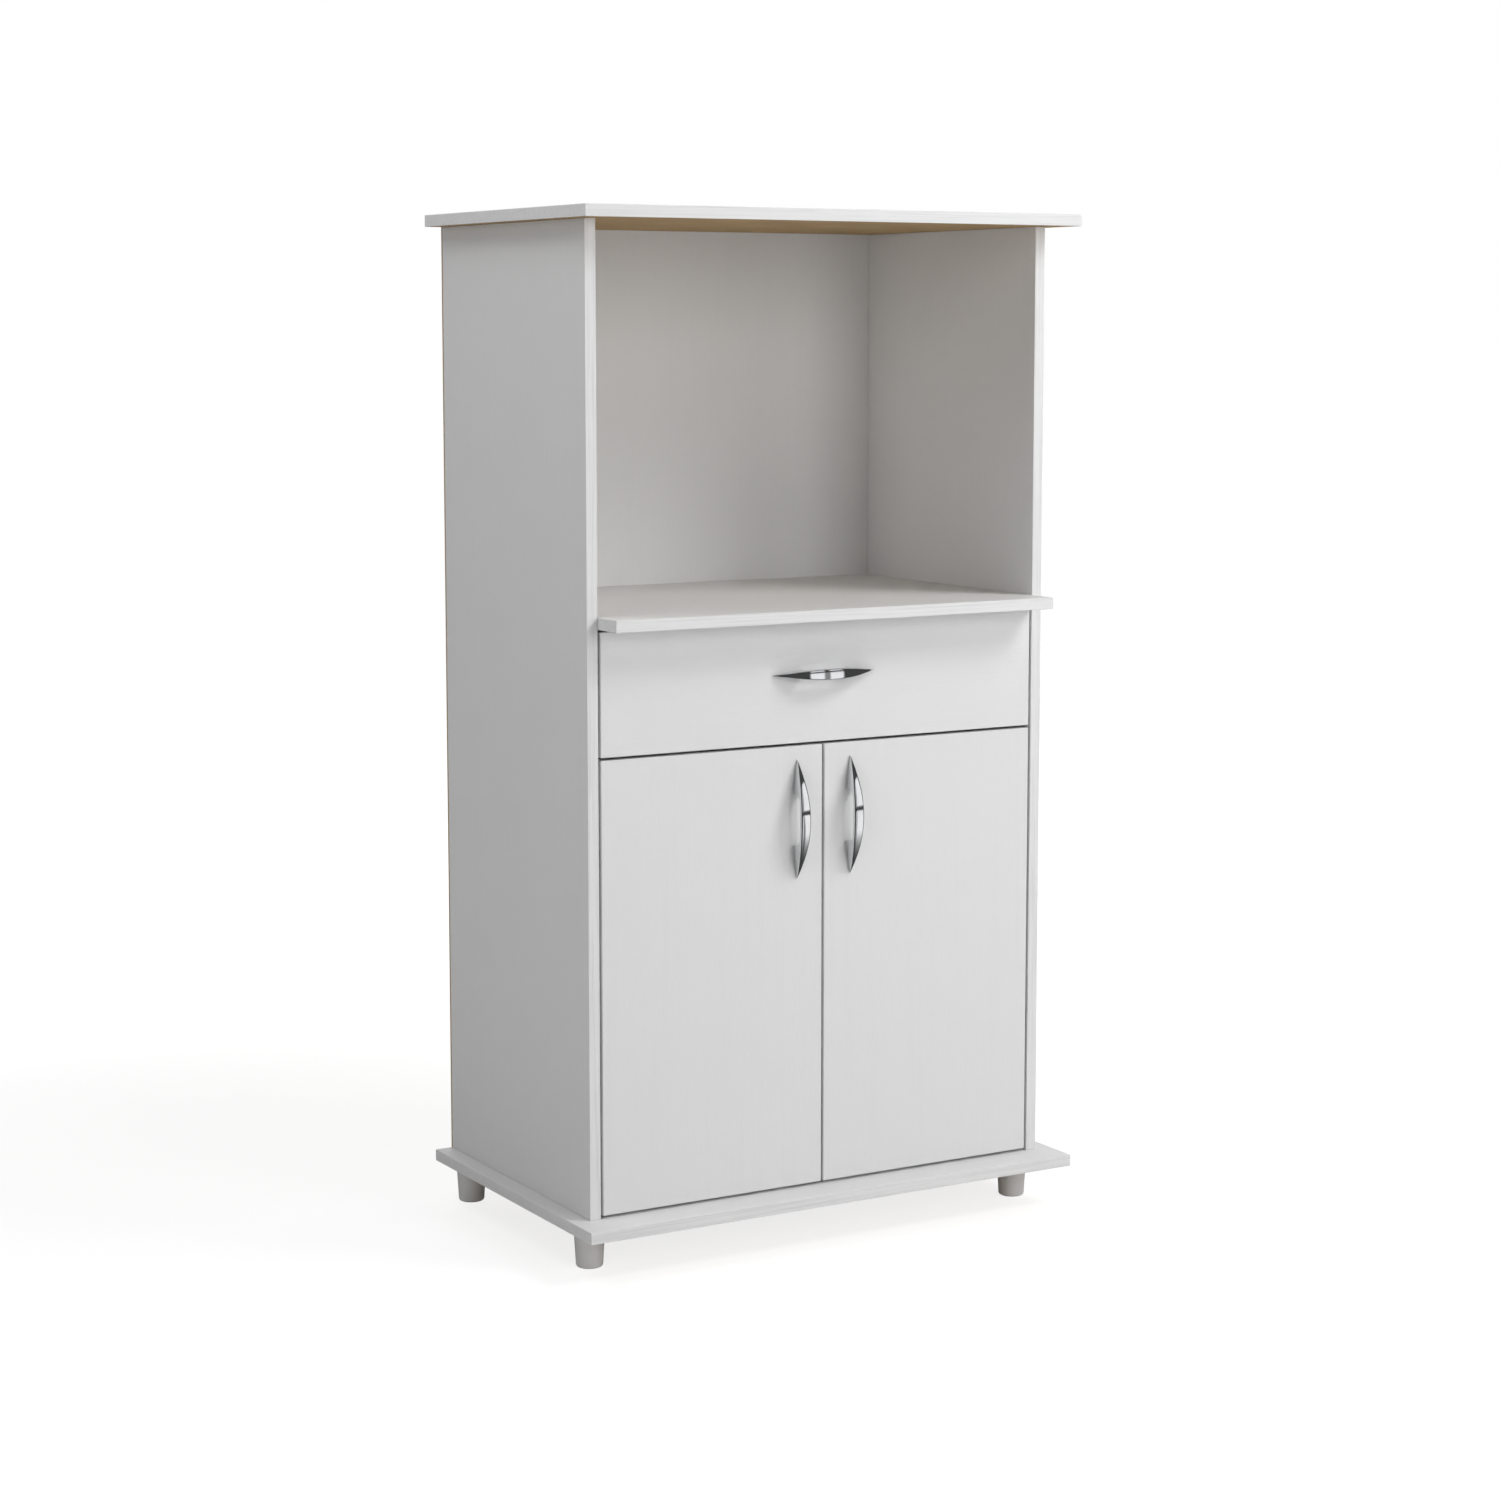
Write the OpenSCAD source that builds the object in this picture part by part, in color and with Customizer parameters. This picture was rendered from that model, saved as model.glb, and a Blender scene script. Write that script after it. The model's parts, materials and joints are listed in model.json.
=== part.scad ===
// Kitchen cabinet: an open niche over a drawer and two inset doors, on four tapered feet.
// The origin is on the floor, under the middle of the cabinet. +Z is up and -Y is the front.

/* [Boards] */
// Width of the top and base boards
board_w = 600; // [560:5:700]
// Thickness of every laminated board
board_t = 12.5; // [12:0.5:14]
// How far the top and base boards pass each side panel
side_overhang = 19.5; // [14:0.5:30]
// How far the top, base and niche shelf stand in front of the side panels
front_overhang = 40; // [25:1:60]
// Depth of the side panels, front to back
side_d = 335; // [325:1:400]
// Thickness of the back panel and of the drawer bottom
back_t = 3; // [2.5:0.5:4]

/* [Fronts] */
// Clear height of the open niche
niche_h = 399; // [320:1:450]
// Height of the drawer front
drawer_front_h = 128; // [120:1:180]
// Height of the two doors
door_h = 474; // [400:1:560]
// Gap round the drawer front and the doors
reveal = 3; // [2.5:0.5:4]

/* [Drawer] */
// Free space between the drawer and the back panel
drawer_back_gap = 22.5; // [15:0.5:70]
// Height of the drawer sides
drawer_side_h = 90; // [80:1:95]
// Thickness of the drawer sides and the drawer back
drawer_side_t = 12; // [11:0.5:14]
// Length of runner that stays inside when the drawer is fully out
runner_overlap = 80; // [70:1:110]

/* [Handles] */
// Tip to tip length of a handle
handle_len = 126.5; // [110:0.5:150]
// Width of a handle at its middle
handle_w = 12; // [10:0.1:14]
// How far a handle stands out from the front it is on
handle_out = 21; // [19:0.5:28]
// Thickness of a handle at its middle
handle_t = 4; // [3.5:0.25:5]
// Distance between the two screws of a handle
handle_screw_gap = 64; // [50:1:66]
// Height of the drawer handle above the middle of the drawer front
drawer_handle_rise = 9; // [0:1:16]
// Distance from the gap between the doors to a door handle
door_handle_in = 33; // [25:1:45]
// Distance from the upper edge of the doors down to the middle of their handles
door_handle_down = 78; // [76:1:160]

/* [Feet] */
// Height of a foot
foot_h = 44; // [35:1:80]
// Diameter of a foot at the board
foot_top_d = 33.5; // [30:0.5:40]
// Diameter of a foot near the floor
foot_bottom_d = 28.5; // [22:0.5:30]
// Distance from the side edge of the base board to the middle of a foot
foot_side_in = 32.5; // [25:0.5:45]
// Distance from the front edge of the base board to a front foot
foot_front_in = 67.5; // [50:0.5:90]
// Distance from the back edge of the base board to a rear foot
foot_rear_in = 24; // [22:0.5:45]

/* [Shelf] */
// Distance from the front of the side panels to the loose shelf behind the doors
shelf_front_in = 43; // [35:1:90]
// Height of the loose shelf's underside above the base board
shelf_up = 235; // [190:1:280]

/* [Hidden] */
$fn = 48;
// Segments of the long arcs of a handle
arc_fn = 600;
// Straight steps in each arc of the arch under a handle
arch_steps = 10;
// Extra length of every cut past the face that it opens
over = 1;
// Radial clearance of a pin, shaft, dowel or screw in its hole
fit = 0.05;
// Clearance of a board in a groove, on each side
groove_fit = 0.15;

// Heights of the board faces, from the floor up
base_top = foot_h + board_t;
door_bottom = base_top + reveal;
door_top = door_bottom + door_h;
front_bottom = door_top + reveal;
front_top = front_bottom + drawer_front_h;
niche_bottom = front_top + reveal + board_t;
niche_top = niche_bottom + niche_h;
side_h = niche_top - base_top;

// Places across and along the cabinet
outer_x = board_w / 2 - side_overhang;
inner_x = outer_x - board_t;
total_d = front_overhang + side_d + back_t;
board_front = -total_d / 2;
side_front = board_front + front_overhang;
side_back = side_front + side_d;
front_back = side_front + board_t;
mid_panel_x = inner_x + board_t / 2;

// Dowels
dowel_r = 3;
dowel_len = 24;
dowel_face_depth = 8;
dowel_end_gap = 0.5;

// Long screws through the top and base boards into the side panels
panel_screw_r = 2.5;
panel_screw_head_r = 4.5;
panel_screw_head_h = 3;
panel_screw_len = 42;
panel_screw_in = 60;
panel_dowel_in = 92;
screw_points = [side_front + panel_screw_in, side_back - panel_screw_in];
dowel_points = [side_front + panel_dowel_in, side_back - panel_dowel_in];

// Cam fittings under the niche shelf and in the drawer sides
cam_r = 6;
cam_depth = 10;
cam_in = 24;
cam_thread_r = 2.5;
cam_thread_len = 8;
cam_shank_r = 1.75;
cam_head_r = 2.25;
cam_head_len = 4;
cam_slot_w = 1.4;
cam_slot_len = 7;
cam_slot_depth = 1.2;
drawer_cam_r = 5;
drawer_cam_depth = 9;

// Nails of the back panel
nail_r = 0.7;
nail_len = 20;
nail_head_r = 2;
nail_head_h = 0.8;
nail_step = 140;
nail_end_in = 30;

// Feet and what holds them
foot_edge_r = 2;
foot_edge_h = 3;
stud_r = 4;
stud_in_foot = 25;
stud_in_board = 9;
insert_r = 6;
insert_len = 9;
foot_x = board_w / 2 - foot_side_in;
foot_front_y = board_front + foot_front_in;
foot_rear_y = total_d / 2 - foot_rear_in;

// Shelf pins
pin_peg_r = 2.5;
pin_peg_len = 8;
pin_collar_r = 4.5;
pin_collar_t = 1;
pin_tongue_len = 8;
pin_tongue_w = 7;
pin_tongue_t = 2.4;
pin_in = 40;
shelf_side_gap = 1.5;
shelf_back_gap = 2;
shelf_z = base_top + shelf_up;
shelf_front = side_front + shelf_front_in;
shelf_back = side_back - shelf_back_gap;
pin_points = [shelf_front + pin_in, shelf_back - pin_in];

// Drawer box
drawer_len = side_d - board_t - drawer_back_gap;
runner_gap = 12.5;
drawer_lift = 14;
bottom_up = 10;
groove_depth = 5;
box_x = inner_x - runner_gap;
box_in_x = box_x - drawer_side_t;
box_z = front_bottom + drawer_lift;
box_back = front_back + drawer_len;
bottom_z = box_z + bottom_up;
drawer_front_x = inner_x - reveal;
drawer_dowel_low = 26;
drawer_dowel_high = 74;
drawer_cam_up = 48;
drawer_cam_in = 24;
drawer_dowel_points = [box_z + drawer_dowel_low, box_z + drawer_dowel_high];
drawer_dowel_len = 22;

// Runners: a channel on the cabinet, an angle on the drawer, a roller on each
runner_t = 1.2;
roller_r = 7;
roller_w = 6;
roller_gap = 0.3;
roller_side_gap = 0.1;
axle_r = 2;
axle_head_r = 3.5;
axle_head_t = 0.8;
track_clear = 0.5;
member_gap = 1;
track_up = 16.8;
track_z = box_z + track_up;
front_roller_z = track_z - roller_gap - roller_r;
channel_top_z = track_z - track_clear - runner_t;
rear_roller_z = channel_top_z - roller_gap - roller_r;
channel_floor_z = rear_roller_z - roller_r - roller_gap;
channel_wall_h = 32;
channel_in_x = box_x + runner_t + member_gap;
channel_web_x = inner_x - runner_t;
track_out = 2.5;
track_x = channel_web_x - track_out;
runner_start = 1.5;
runner_front = front_back + runner_start;
runner_back = box_back;
front_roller_in = 10;
rear_roller_in = 12;
front_roller_y = runner_front + front_roller_in;
rear_roller_y = runner_back - rear_roller_in;
channel_mouth = 5;
channel_top_y = front_roller_y + roller_r + channel_mouth;
drawer_travel = drawer_len - runner_overlap;
stop_h = 3;
stop_gap = 0.5;
stop_y = rear_roller_y - drawer_travel - roller_r - stop_gap - runner_t;
runner_flange_w = 10;
front_axle_gap = 0.7;
rear_shoulder = 1.2;
front_roller_x = box_x + runner_t + front_axle_gap + axle_head_t + roller_side_gap;
rear_roller_x = box_x + runner_t + rear_shoulder + roller_side_gap;
runner_screw_r = 1.75;
runner_screw_head_r = 3.2;
runner_screw_head_h = 1.5;
runner_screw_len = 10;
runner_screw_in = 35;
runner_screw_up = 25;
runner_screw_points = [runner_front + runner_screw_in, (runner_front + runner_back) / 2,
    runner_back - runner_screw_in];
drawer_screw_x = box_x - drawer_side_t / 2;

// Handles
tip_t = 1.4;
arch_corner_r = 9;
arch_wall = 2.5;
handle_screw_r = 2;
handle_screw_into = 8;
handle_screw_head_r = 4;
handle_screw_head_h = 2.4;
handle_half = handle_len / 2;
screw_half_gap = handle_screw_gap / 2;
outer_sag = handle_out - tip_t;
inner_sag = handle_out - handle_t;
outer_arc_r = (handle_half ^ 2 + outer_sag ^ 2) / (2 * outer_sag);
inner_arc_r = (handle_half ^ 2 + inner_sag ^ 2) / (2 * inner_sag);
width_arc_r = (handle_half ^ 2 + (handle_w / 2) ^ 2) / handle_w;
arch_half = screw_half_gap - handle_screw_r - arch_wall;
arch_corner_x = arch_half - arch_corner_r;
arch_corner_up = inner_sag - inner_arc_r + sqrt((inner_arc_r - arch_corner_r) ^ 2 - arch_corner_x ^ 2);
arch_lean = acos(arch_corner_x / (inner_arc_r - arch_corner_r));
drawer_handle_z = (front_bottom + front_top) / 2 + drawer_handle_rise;
door_handle_z = door_top - door_handle_down;

// Doors and hinges. Places on a hinge are measured in from the door's outer edge (in),
// and back from the door's front face (back).
door_edge_x = inner_x - reveal;
door_w = door_edge_x - reveal / 2;
cup_r = 13;
cup_wall = 1;
cup_depth = 9.5;
cup_floor_t = 0.8;
eye_r = 1.9;
eye_gap = 0.3;
lug_gap = 1.1;
cup_edge = 4;
swing_clear = 1;
swing = reveal - swing_clear;
pivot_back = board_t - cup_depth + cup_floor_t + eye_gap + eye_r;
pivot_in = max((pivot_back ^ 2 - swing ^ 2) / (2 * swing), cup_edge + cup_wall + eye_r + lug_gap);
cup_in = pivot_in + cup_r - cup_wall - eye_r - lug_gap;
pivot_x = door_edge_x - pivot_in;
pivot_y = side_front + pivot_back;
cup_x = door_edge_x - cup_in;
hinge_pin_r = 1;
hinge_pin_half = sqrt(cup_r ^ 2 - (cup_in - pivot_in + hinge_pin_r) ^ 2) - fit;
lug_near = 4.2;
lug_far = 8;
lug_half = 2.6;
flange_r = 14.5;
flange_t = 1.2;
ear_half = 24.5;
ear_w = 11;
ear_in = 4.5;
ear_screw_half = 19;
cup_screw_r = 1.75;
cup_screw_head_r = 3.2;
cup_screw_head_h = 1.6;
cup_screw_len = 8;
arm_t = 2.4;
arm_half = 3.25;
corner_clear = 1;
arm_reach = sqrt(pivot_in ^ 2 + (board_t - pivot_back) ^ 2) + corner_clear + arm_t / 2;
arm_tail = 46;
arm_slot_in = 14;
plate_t = 3;
wing_t = 1.6;
wing_half = 22;
wing_w = 18;
rail_half = 6;
plate_screw_half = 16;
plate_screw_r = 1.75;
plate_screw_head_r = 3.2;
plate_screw_head_h = 1.6;
plate_screw_len = 10;
wing_in = 22;
arm_screw_r = 2;
arm_screw_head_r = 3.5;
arm_screw_head_h = 1.6;
arm_face_x = inner_x - plate_t - arm_t;
arm_bend_y = pivot_y + arm_reach;
plate_y = arm_bend_y - arm_t / 2;
arm_screw_y = arm_bend_y + arm_tail - arm_slot_in;
plate_screw_y = plate_y + wing_in + wing_w / 2;
hinge_end_in = 80;
hinge_z = [door_bottom + hinge_end_in, door_top - hinge_end_in];

// The radial clearance of a hole: none where the same module draws the piece itself
function hole_fit(extra) = extra > 0 ? fit : 0;

// A box from its low corner to its high corner
module block(low, high) {
    translate(low)
        cube(high - low);
}

// The same children on the left and on the right
module both_sides() {
    children();
    mirror([1, 0, 0])
        children();
}

// A cylinder along +X, +Y or -Y from where it is placed
module rod_x(r, len) {
    rotate([0, 90, 0])
        cylinder(r = r, h = len);
}

module rod_y(r, len) {
    rotate([-90, 0, 0])
        cylinder(r = r, h = len);
}

// A countersunk panel screw: its head is flush at zero height and its shank goes down
module panel_screw(extra = 0) {
    translate([0, 0, -panel_screw_head_h])
        cylinder(r1 = panel_screw_r + extra, r2 = panel_screw_head_r + extra, h = panel_screw_head_h);
    translate([0, 0, -panel_screw_len - extra])
        cylinder(r = panel_screw_r + extra, h = panel_screw_len - panel_screw_head_h + 2 * extra);
}

// All eight panel screws of one side, from above into the top and from below into the base
module side_panel_screws(extra = 0) {
    for (y = screw_points) {
        translate([mid_panel_x, y, niche_top + board_t])
            panel_screw(extra);
        translate([mid_panel_x, y, foot_h])
            mirror([0, 0, 1])
                panel_screw(extra);
    }
}

// The upright dowels of one side, in the top board and in the base board
module side_dowels(extra = 0) {
    for (y = dowel_points) {
        translate([mid_panel_x, y, niche_top + dowel_face_depth - dowel_len - extra])
            cylinder(r = dowel_r + hole_fit(extra), h = dowel_len + 2 * extra);
        translate([mid_panel_x, y, base_top - dowel_face_depth - extra])
            cylinder(r = dowel_r + hole_fit(extra), h = dowel_len + 2 * extra);
    }
}

// The level dowels of one end of the niche shelf
module shelf_dowels(extra = 0) {
    for (y = dowel_points)
        translate([inner_x + dowel_face_depth - dowel_len - extra, y, niche_bottom - board_t / 2])
            rod_x(dowel_r + hole_fit(extra), dowel_len + 2 * extra);
}

// A cam bolt along +Z: its thread lies below zero and its head lies in the cam
module cam_bolt(reach, extra = 0) {
    translate([0, 0, -cam_thread_len - extra])
        cylinder(r = cam_thread_r + extra, h = cam_thread_len + extra);
    cylinder(r = cam_shank_r + extra, h = reach);
    translate([0, 0, reach - cam_head_len / 2])
        cylinder(r = cam_head_r + extra, h = cam_head_len);
}

// The hole that a cam bolt needs: a threaded stretch below zero and a wide one above it
module cam_bolt_hole(reach) {
    translate([0, 0, -cam_thread_len - fit])
        cylinder(r = cam_thread_r + fit, h = cam_thread_len + fit);
    cylinder(r = cam_head_r + fit, h = reach);
}

// The top board, with blind dowel holes below and screw holes right through
module top_board() {
    color([0.93, 0.93, 0.93])
        difference() {
            block([-board_w / 2, board_front, niche_top], [board_w / 2, total_d / 2, niche_top + board_t]);
            both_sides() {
                side_panel_screws(fit);
                side_dowels(dowel_end_gap);
            }
        }
}

module foot_places() {
    for (x = [-foot_x, foot_x])
        for (y = [foot_front_y, foot_rear_y])
            translate([x, y, 0])
                children();
}

// The base board, with holes for the panel screws, the dowels and the feet's insert nuts
module base_board() {
    color([0.93, 0.93, 0.93])
        difference() {
            block([-board_w / 2, board_front, foot_h], [board_w / 2, total_d / 2, base_top]);
            both_sides() {
                side_panel_screws(fit);
                side_dowels(dowel_end_gap);
            }
            foot_places()
                translate([0, 0, foot_h - over])
                    cylinder(r = insert_r + fit, h = insert_len + fit + over);
        }
}

// Every peg hole, screw hole and dowel hole on the inner face of the right side panel
module right_side_panel() {
    color([0.92, 0.92, 0.92])
        difference() {
            block([inner_x, side_front, base_top], [outer_x, side_back, niche_top]);
            side_panel_screws(fit);
            side_dowels(dowel_end_gap);
            shelf_dowels(dowel_end_gap);
            for (y = screw_points)
                translate([inner_x, y, niche_bottom - board_t / 2])
                    rotate([0, -90, 0])
                        cam_bolt_hole(over);
            for (y = pin_points)
                translate([inner_x - over, y, shelf_z - pin_tongue_t])
                    rod_x(pin_peg_r + fit, pin_peg_len + fit + over);
            for (y = runner_screw_points)
                translate([inner_x - over, y, channel_floor_z + runner_screw_up])
                    rod_x(runner_screw_r + fit, runner_screw_len - runner_t + fit + over);
            for (z = hinge_z)
                for (side = [-1, 1])
                    translate([inner_x - over, plate_screw_y, z + side * plate_screw_half])
                        rod_x(plate_screw_r + fit, plate_screw_len - wing_t + fit + over);
            nail_columns(fit);
        }
}

module left_side_panel() {
    mirror([1, 0, 0])
        right_side_panel();
}

// The shelf under the niche, held by cams and dowels between the side panels
module niche_shelf() {
    color([0.94, 0.94, 0.94])
        difference() {
            block([-inner_x, board_front, niche_bottom - board_t], [inner_x, side_back, niche_bottom]);
            both_sides() {
                shelf_dowels(dowel_end_gap);
                for (y = screw_points) {
                    translate([inner_x, y, niche_bottom - board_t / 2])
                        rotate([0, -90, 0])
                            cam_bolt_hole(cam_in);
                    translate([inner_x - cam_in, y, niche_bottom - board_t - over])
                        cylinder(r = cam_r, h = cam_depth + fit + over);
                }
            }
            shelf_nails(fit);
        }
}

module shelf_cam_bolts() {
    color([0.75, 0.76, 0.78])
        both_sides()
            for (y = screw_points)
                translate([inner_x, y, niche_bottom - board_t / 2])
                    rotate([0, -90, 0])
                        cam_bolt(cam_in);
}

module shelf_cam_locks() {
    color([0.62, 0.63, 0.65])
        both_sides()
            for (y = screw_points)
                translate([inner_x - cam_in, y, niche_bottom - board_t])
                    shelf_cam();
}

// A round cam with a bore across it for the bolt's head, at half the board, and a driver slot
module shelf_cam() {
    difference() {
        cylinder(r = cam_r - fit, h = cam_depth);
        translate([-cam_head_len / 2 - 2 * fit, 0, board_t / 2])
            rod_x(cam_head_r + 2 * fit, cam_r + cam_head_len + over);
        translate([-cam_slot_len / 2, -cam_slot_w / 2, -over])
            cube([cam_slot_len, cam_slot_w, cam_slot_depth + over]);
    }
}

// One nail along -Y: its head is flush with the panel's back face at zero
module nail(extra = 0) {
    translate([0, -nail_head_h, 0])
        rod_y(nail_head_r + extra, nail_head_h + extra);
    translate([0, -nail_len - extra, 0])
        rod_y(nail_r + extra, nail_len + extra);
}

// The nails up the back edge of the right side panel
module nail_columns(extra = 0) {
    run = side_h - 2 * nail_end_in;
    count = floor(run / nail_step);
    for (i = [0:count])
        translate([mid_panel_x, total_d / 2, base_top + nail_end_in + i * run / count])
            nail(extra);
}

// The nails along the back edge of the niche shelf
module shelf_nails(extra = 0) {
    run = 2 * inner_x - 2 * nail_end_in - 2 * cam_in;
    count = floor(run / nail_step);
    for (i = [0:count])
        translate([i * run / count - run / 2, total_d / 2, niche_bottom - board_t / 2])
            nail(extra);
}

module back_panel() {
    color([0.9, 0.9, 0.9])
        difference() {
            block([-outer_x, side_back, base_top], [outer_x, total_d / 2, niche_top]);
            both_sides()
                nail_columns(fit);
            shelf_nails(fit);
        }
}

module back_nails() {
    color([0.7, 0.7, 0.7]) {
        both_sides()
            nail_columns();
        shelf_nails();
    }
}

module inner_shelf() {
    color([0.93, 0.93, 0.93])
        block([shelf_side_gap - inner_x, shelf_front, shelf_z],
            [inner_x - shelf_side_gap, shelf_back, shelf_z + board_t]);
}

// A shelf pin: a peg in the panel, a collar against it and a tongue under the shelf
module shelf_pin() {
    difference() {
        union() {
            translate([inner_x - pin_collar_t, 0, -pin_tongue_t])
                rod_x(pin_peg_r, pin_peg_len + pin_collar_t);
            translate([inner_x - pin_collar_t, 0, -pin_tongue_t])
                rod_x(pin_collar_r, pin_collar_t);
            block([inner_x - pin_tongue_len, -pin_tongue_w / 2, -pin_tongue_t],
                [inner_x, pin_tongue_w / 2, 0]);
        }
        block([inner_x - pin_tongue_len - over, -pin_collar_r, 0], [inner_x, pin_collar_r, pin_collar_r]);
    }
}

module shelf_pins() {
    color([0.85, 0.85, 0.87])
        both_sides()
            for (y = pin_points)
                translate([0, y, shelf_z])
                    shelf_pin();
}

module panel_screws() {
    color([0.72, 0.73, 0.75])
        both_sides()
            side_panel_screws();
}

module panel_dowels() {
    color([0.8, 0.66, 0.45])
        both_sides() {
            side_dowels();
            shelf_dowels();
        }
}

// A tapered foot with a rolled lower edge and a blind bore for its stud
module foot() {
    bottom_r = foot_bottom_d / 2;
    color([0.9, 0.9, 0.9])
        difference() {
            rotate_extrude($fn = 96)
                union() {
                    polygon([[0, foot_edge_h], [bottom_r, foot_edge_h],
                        [foot_top_d / 2, foot_h], [0, foot_h]]);
                    polygon([[0, 0], [bottom_r - foot_edge_r, 0], [bottom_r, foot_edge_r],
                        [bottom_r, foot_edge_h], [0, foot_edge_h]]);
                }
            translate([0, 0, foot_h - stud_in_foot - fit])
                cylinder(r = stud_r + fit, h = stud_in_foot + over);
        }
}

module front_left_foot() {
    translate([-foot_x, foot_front_y, 0])
        foot();
}

module front_right_foot() {
    translate([foot_x, foot_front_y, 0])
        foot();
}

module rear_left_foot() {
    translate([-foot_x, foot_rear_y, 0])
        foot();
}

module rear_right_foot() {
    translate([foot_x, foot_rear_y, 0])
        foot();
}

module foot_studs() {
    color([0.7, 0.71, 0.73])
        foot_places()
            translate([0, 0, foot_h - stud_in_foot])
                cylinder(r = stud_r, h = stud_in_foot + stud_in_board);
}

module foot_insert_nuts() {
    color([0.72, 0.6, 0.35])
        foot_places()
            translate([0, 0, foot_h])
                difference() {
                    cylinder(r = insert_r, h = insert_len);
                    translate([0, 0, -over])
                        cylinder(r = stud_r + fit, h = insert_len + 2 * over);
                }
}

// The channel on the right side panel: a web, a floor, a roof behind the roller, and a stop
module right_cabinet_runner() {
    color([0.88, 0.88, 0.88])
        difference() {
            union() {
                block([channel_web_x, runner_front, channel_floor_z - runner_t],
                    [inner_x, runner_back, channel_floor_z - runner_t + channel_wall_h]);
                block([channel_in_x, runner_front, channel_floor_z - runner_t],
                    [inner_x, runner_back, channel_floor_z]);
                block([channel_in_x, channel_top_y, channel_top_z],
                    [inner_x, runner_back, channel_top_z + runner_t]);
                block([channel_in_x, stop_y, channel_floor_z - runner_t],
                    [inner_x, stop_y + runner_t, channel_floor_z + stop_h]);
            }
            for (y = runner_screw_points)
                translate([channel_web_x - over, y, channel_floor_z + runner_screw_up])
                    rod_x(runner_screw_r + fit, runner_t + 2 * over);
            translate([channel_web_x - over, front_roller_y, front_roller_z])
                rod_x(axle_r + fit, runner_t + 2 * over);
        }
}

module left_cabinet_runner() {
    mirror([1, 0, 0])
        right_cabinet_runner();
}

// A round-headed screw along +X: its head lies before zero and its shank after it
module head_screw_x(r, len, head_r, head_h) {
    rod_x(r, len);
    translate([-head_h, 0, 0])
        rod_x(head_r, head_h);
}

module cabinet_runner_screws() {
    color([0.75, 0.76, 0.78])
        both_sides()
            for (y = runner_screw_points)
                translate([channel_web_x, y, channel_floor_z + runner_screw_up])
                    head_screw_x(runner_screw_r, runner_screw_len, runner_screw_head_r, runner_screw_head_h);
}

// An axle along +X through a roller that starts at zero: a head before it, a shoulder after it
module axle(shoulder_len, root_len) {
    translate([-roller_side_gap - axle_head_t, 0, 0])
        rod_x(axle_head_r, axle_head_t);
    translate([-roller_side_gap, 0, 0])
        rod_x(axle_r, roller_w + 2 * roller_side_gap + shoulder_len + root_len);
    translate([roller_w + roller_side_gap, 0, 0])
        rod_x(axle_head_r, shoulder_len);
}

module roller() {
    difference() {
        rod_x(roller_r, roller_w);
        translate([-over, 0, 0])
            rod_x(axle_r + fit, roller_w + 2 * over);
    }
}

module front_roller_axles() {
    color([0.7, 0.71, 0.73])
        both_sides()
            translate([front_roller_x, front_roller_y, front_roller_z])
                axle(channel_web_x - front_roller_x - roller_w - roller_side_gap, runner_t);
}

module right_front_roller() {
    color([0.95, 0.95, 0.93])
        translate([front_roller_x, front_roller_y, front_roller_z])
            roller();
}

module left_front_roller() {
    mirror([1, 0, 0])
        right_front_roller();
}

// The rear axle is the front one turned round: its shoulder is on the drawer's side
module rear_roller_axles() {
    color([0.7, 0.71, 0.73])
        both_sides()
            translate([rear_roller_x + roller_w, rear_roller_y, rear_roller_z])
                mirror([1, 0, 0])
                    axle(rear_roller_x - box_x - runner_t - roller_side_gap, runner_t);
}

module right_rear_roller() {
    color([0.95, 0.95, 0.93])
        translate([rear_roller_x, rear_roller_y, rear_roller_z])
            roller();
}

module left_rear_roller() {
    mirror([1, 0, 0])
        right_rear_roller();
}

// The angle on the right drawer side: a foot under the side, a web, and a track over the roller
module right_drawer_runner() {
    color([0.88, 0.88, 0.88])
        difference() {
            union() {
                block([box_x - runner_flange_w, runner_front, box_z - runner_t],
                    [box_x + runner_t, runner_back, box_z]);
                block([box_x, runner_front, box_z - runner_t],
                    [box_x + runner_t, runner_back, track_z + runner_t]);
                block([box_x, runner_front, track_z], [track_x, runner_back, track_z + runner_t]);
            }
            for (y = runner_screw_points)
                translate([drawer_screw_x, y, box_z - runner_t - over])
                    cylinder(r = runner_screw_r + fit, h = runner_t + 2 * over);
            translate([box_x - over, rear_roller_y, rear_roller_z])
                rod_x(axle_r + fit, runner_t + 2 * over);
        }
}

module left_drawer_runner() {
    mirror([1, 0, 0])
        right_drawer_runner();
}

module drawer_runner_screws() {
    color([0.75, 0.76, 0.78])
        both_sides()
            for (y = runner_screw_points)
                translate([drawer_screw_x, y, box_z - runner_t]) {
                    cylinder(r = runner_screw_r, h = runner_screw_len);
                    translate([0, 0, -runner_screw_head_h])
                        cylinder(r = runner_screw_head_r, h = runner_screw_head_h);
                }
}

// The groove for the drawer bottom, cut into the drawer front and both drawer sides
module drawer_groove() {
    block([-box_in_x - groove_depth, front_back - groove_depth, bottom_z - groove_fit],
        [box_in_x + groove_depth, box_back + over, bottom_z + back_t + groove_fit]);
}

module drawer_front() {
    color([0.91, 0.91, 0.91])
        difference() {
            block([-drawer_front_x, side_front, front_bottom], [drawer_front_x, front_back, front_top]);
            drawer_groove();
            both_sides() {
                drawer_front_dowels(dowel_end_gap);
                translate([drawer_screw_x, front_back, box_z + drawer_cam_up])
                    rotate([-90, 0, 0])
                        cam_bolt_hole(over);
            }
            drawer_handle_place()
                handle_screws(fit);
        }
}

// The dowels from the drawer front into the right drawer side
module drawer_front_dowels(extra = 0) {
    for (z = drawer_dowel_points)
        translate([drawer_screw_x, front_back - dowel_face_depth - extra, z])
            rod_y(dowel_r + hole_fit(extra), drawer_dowel_len + 2 * extra);
}

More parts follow.
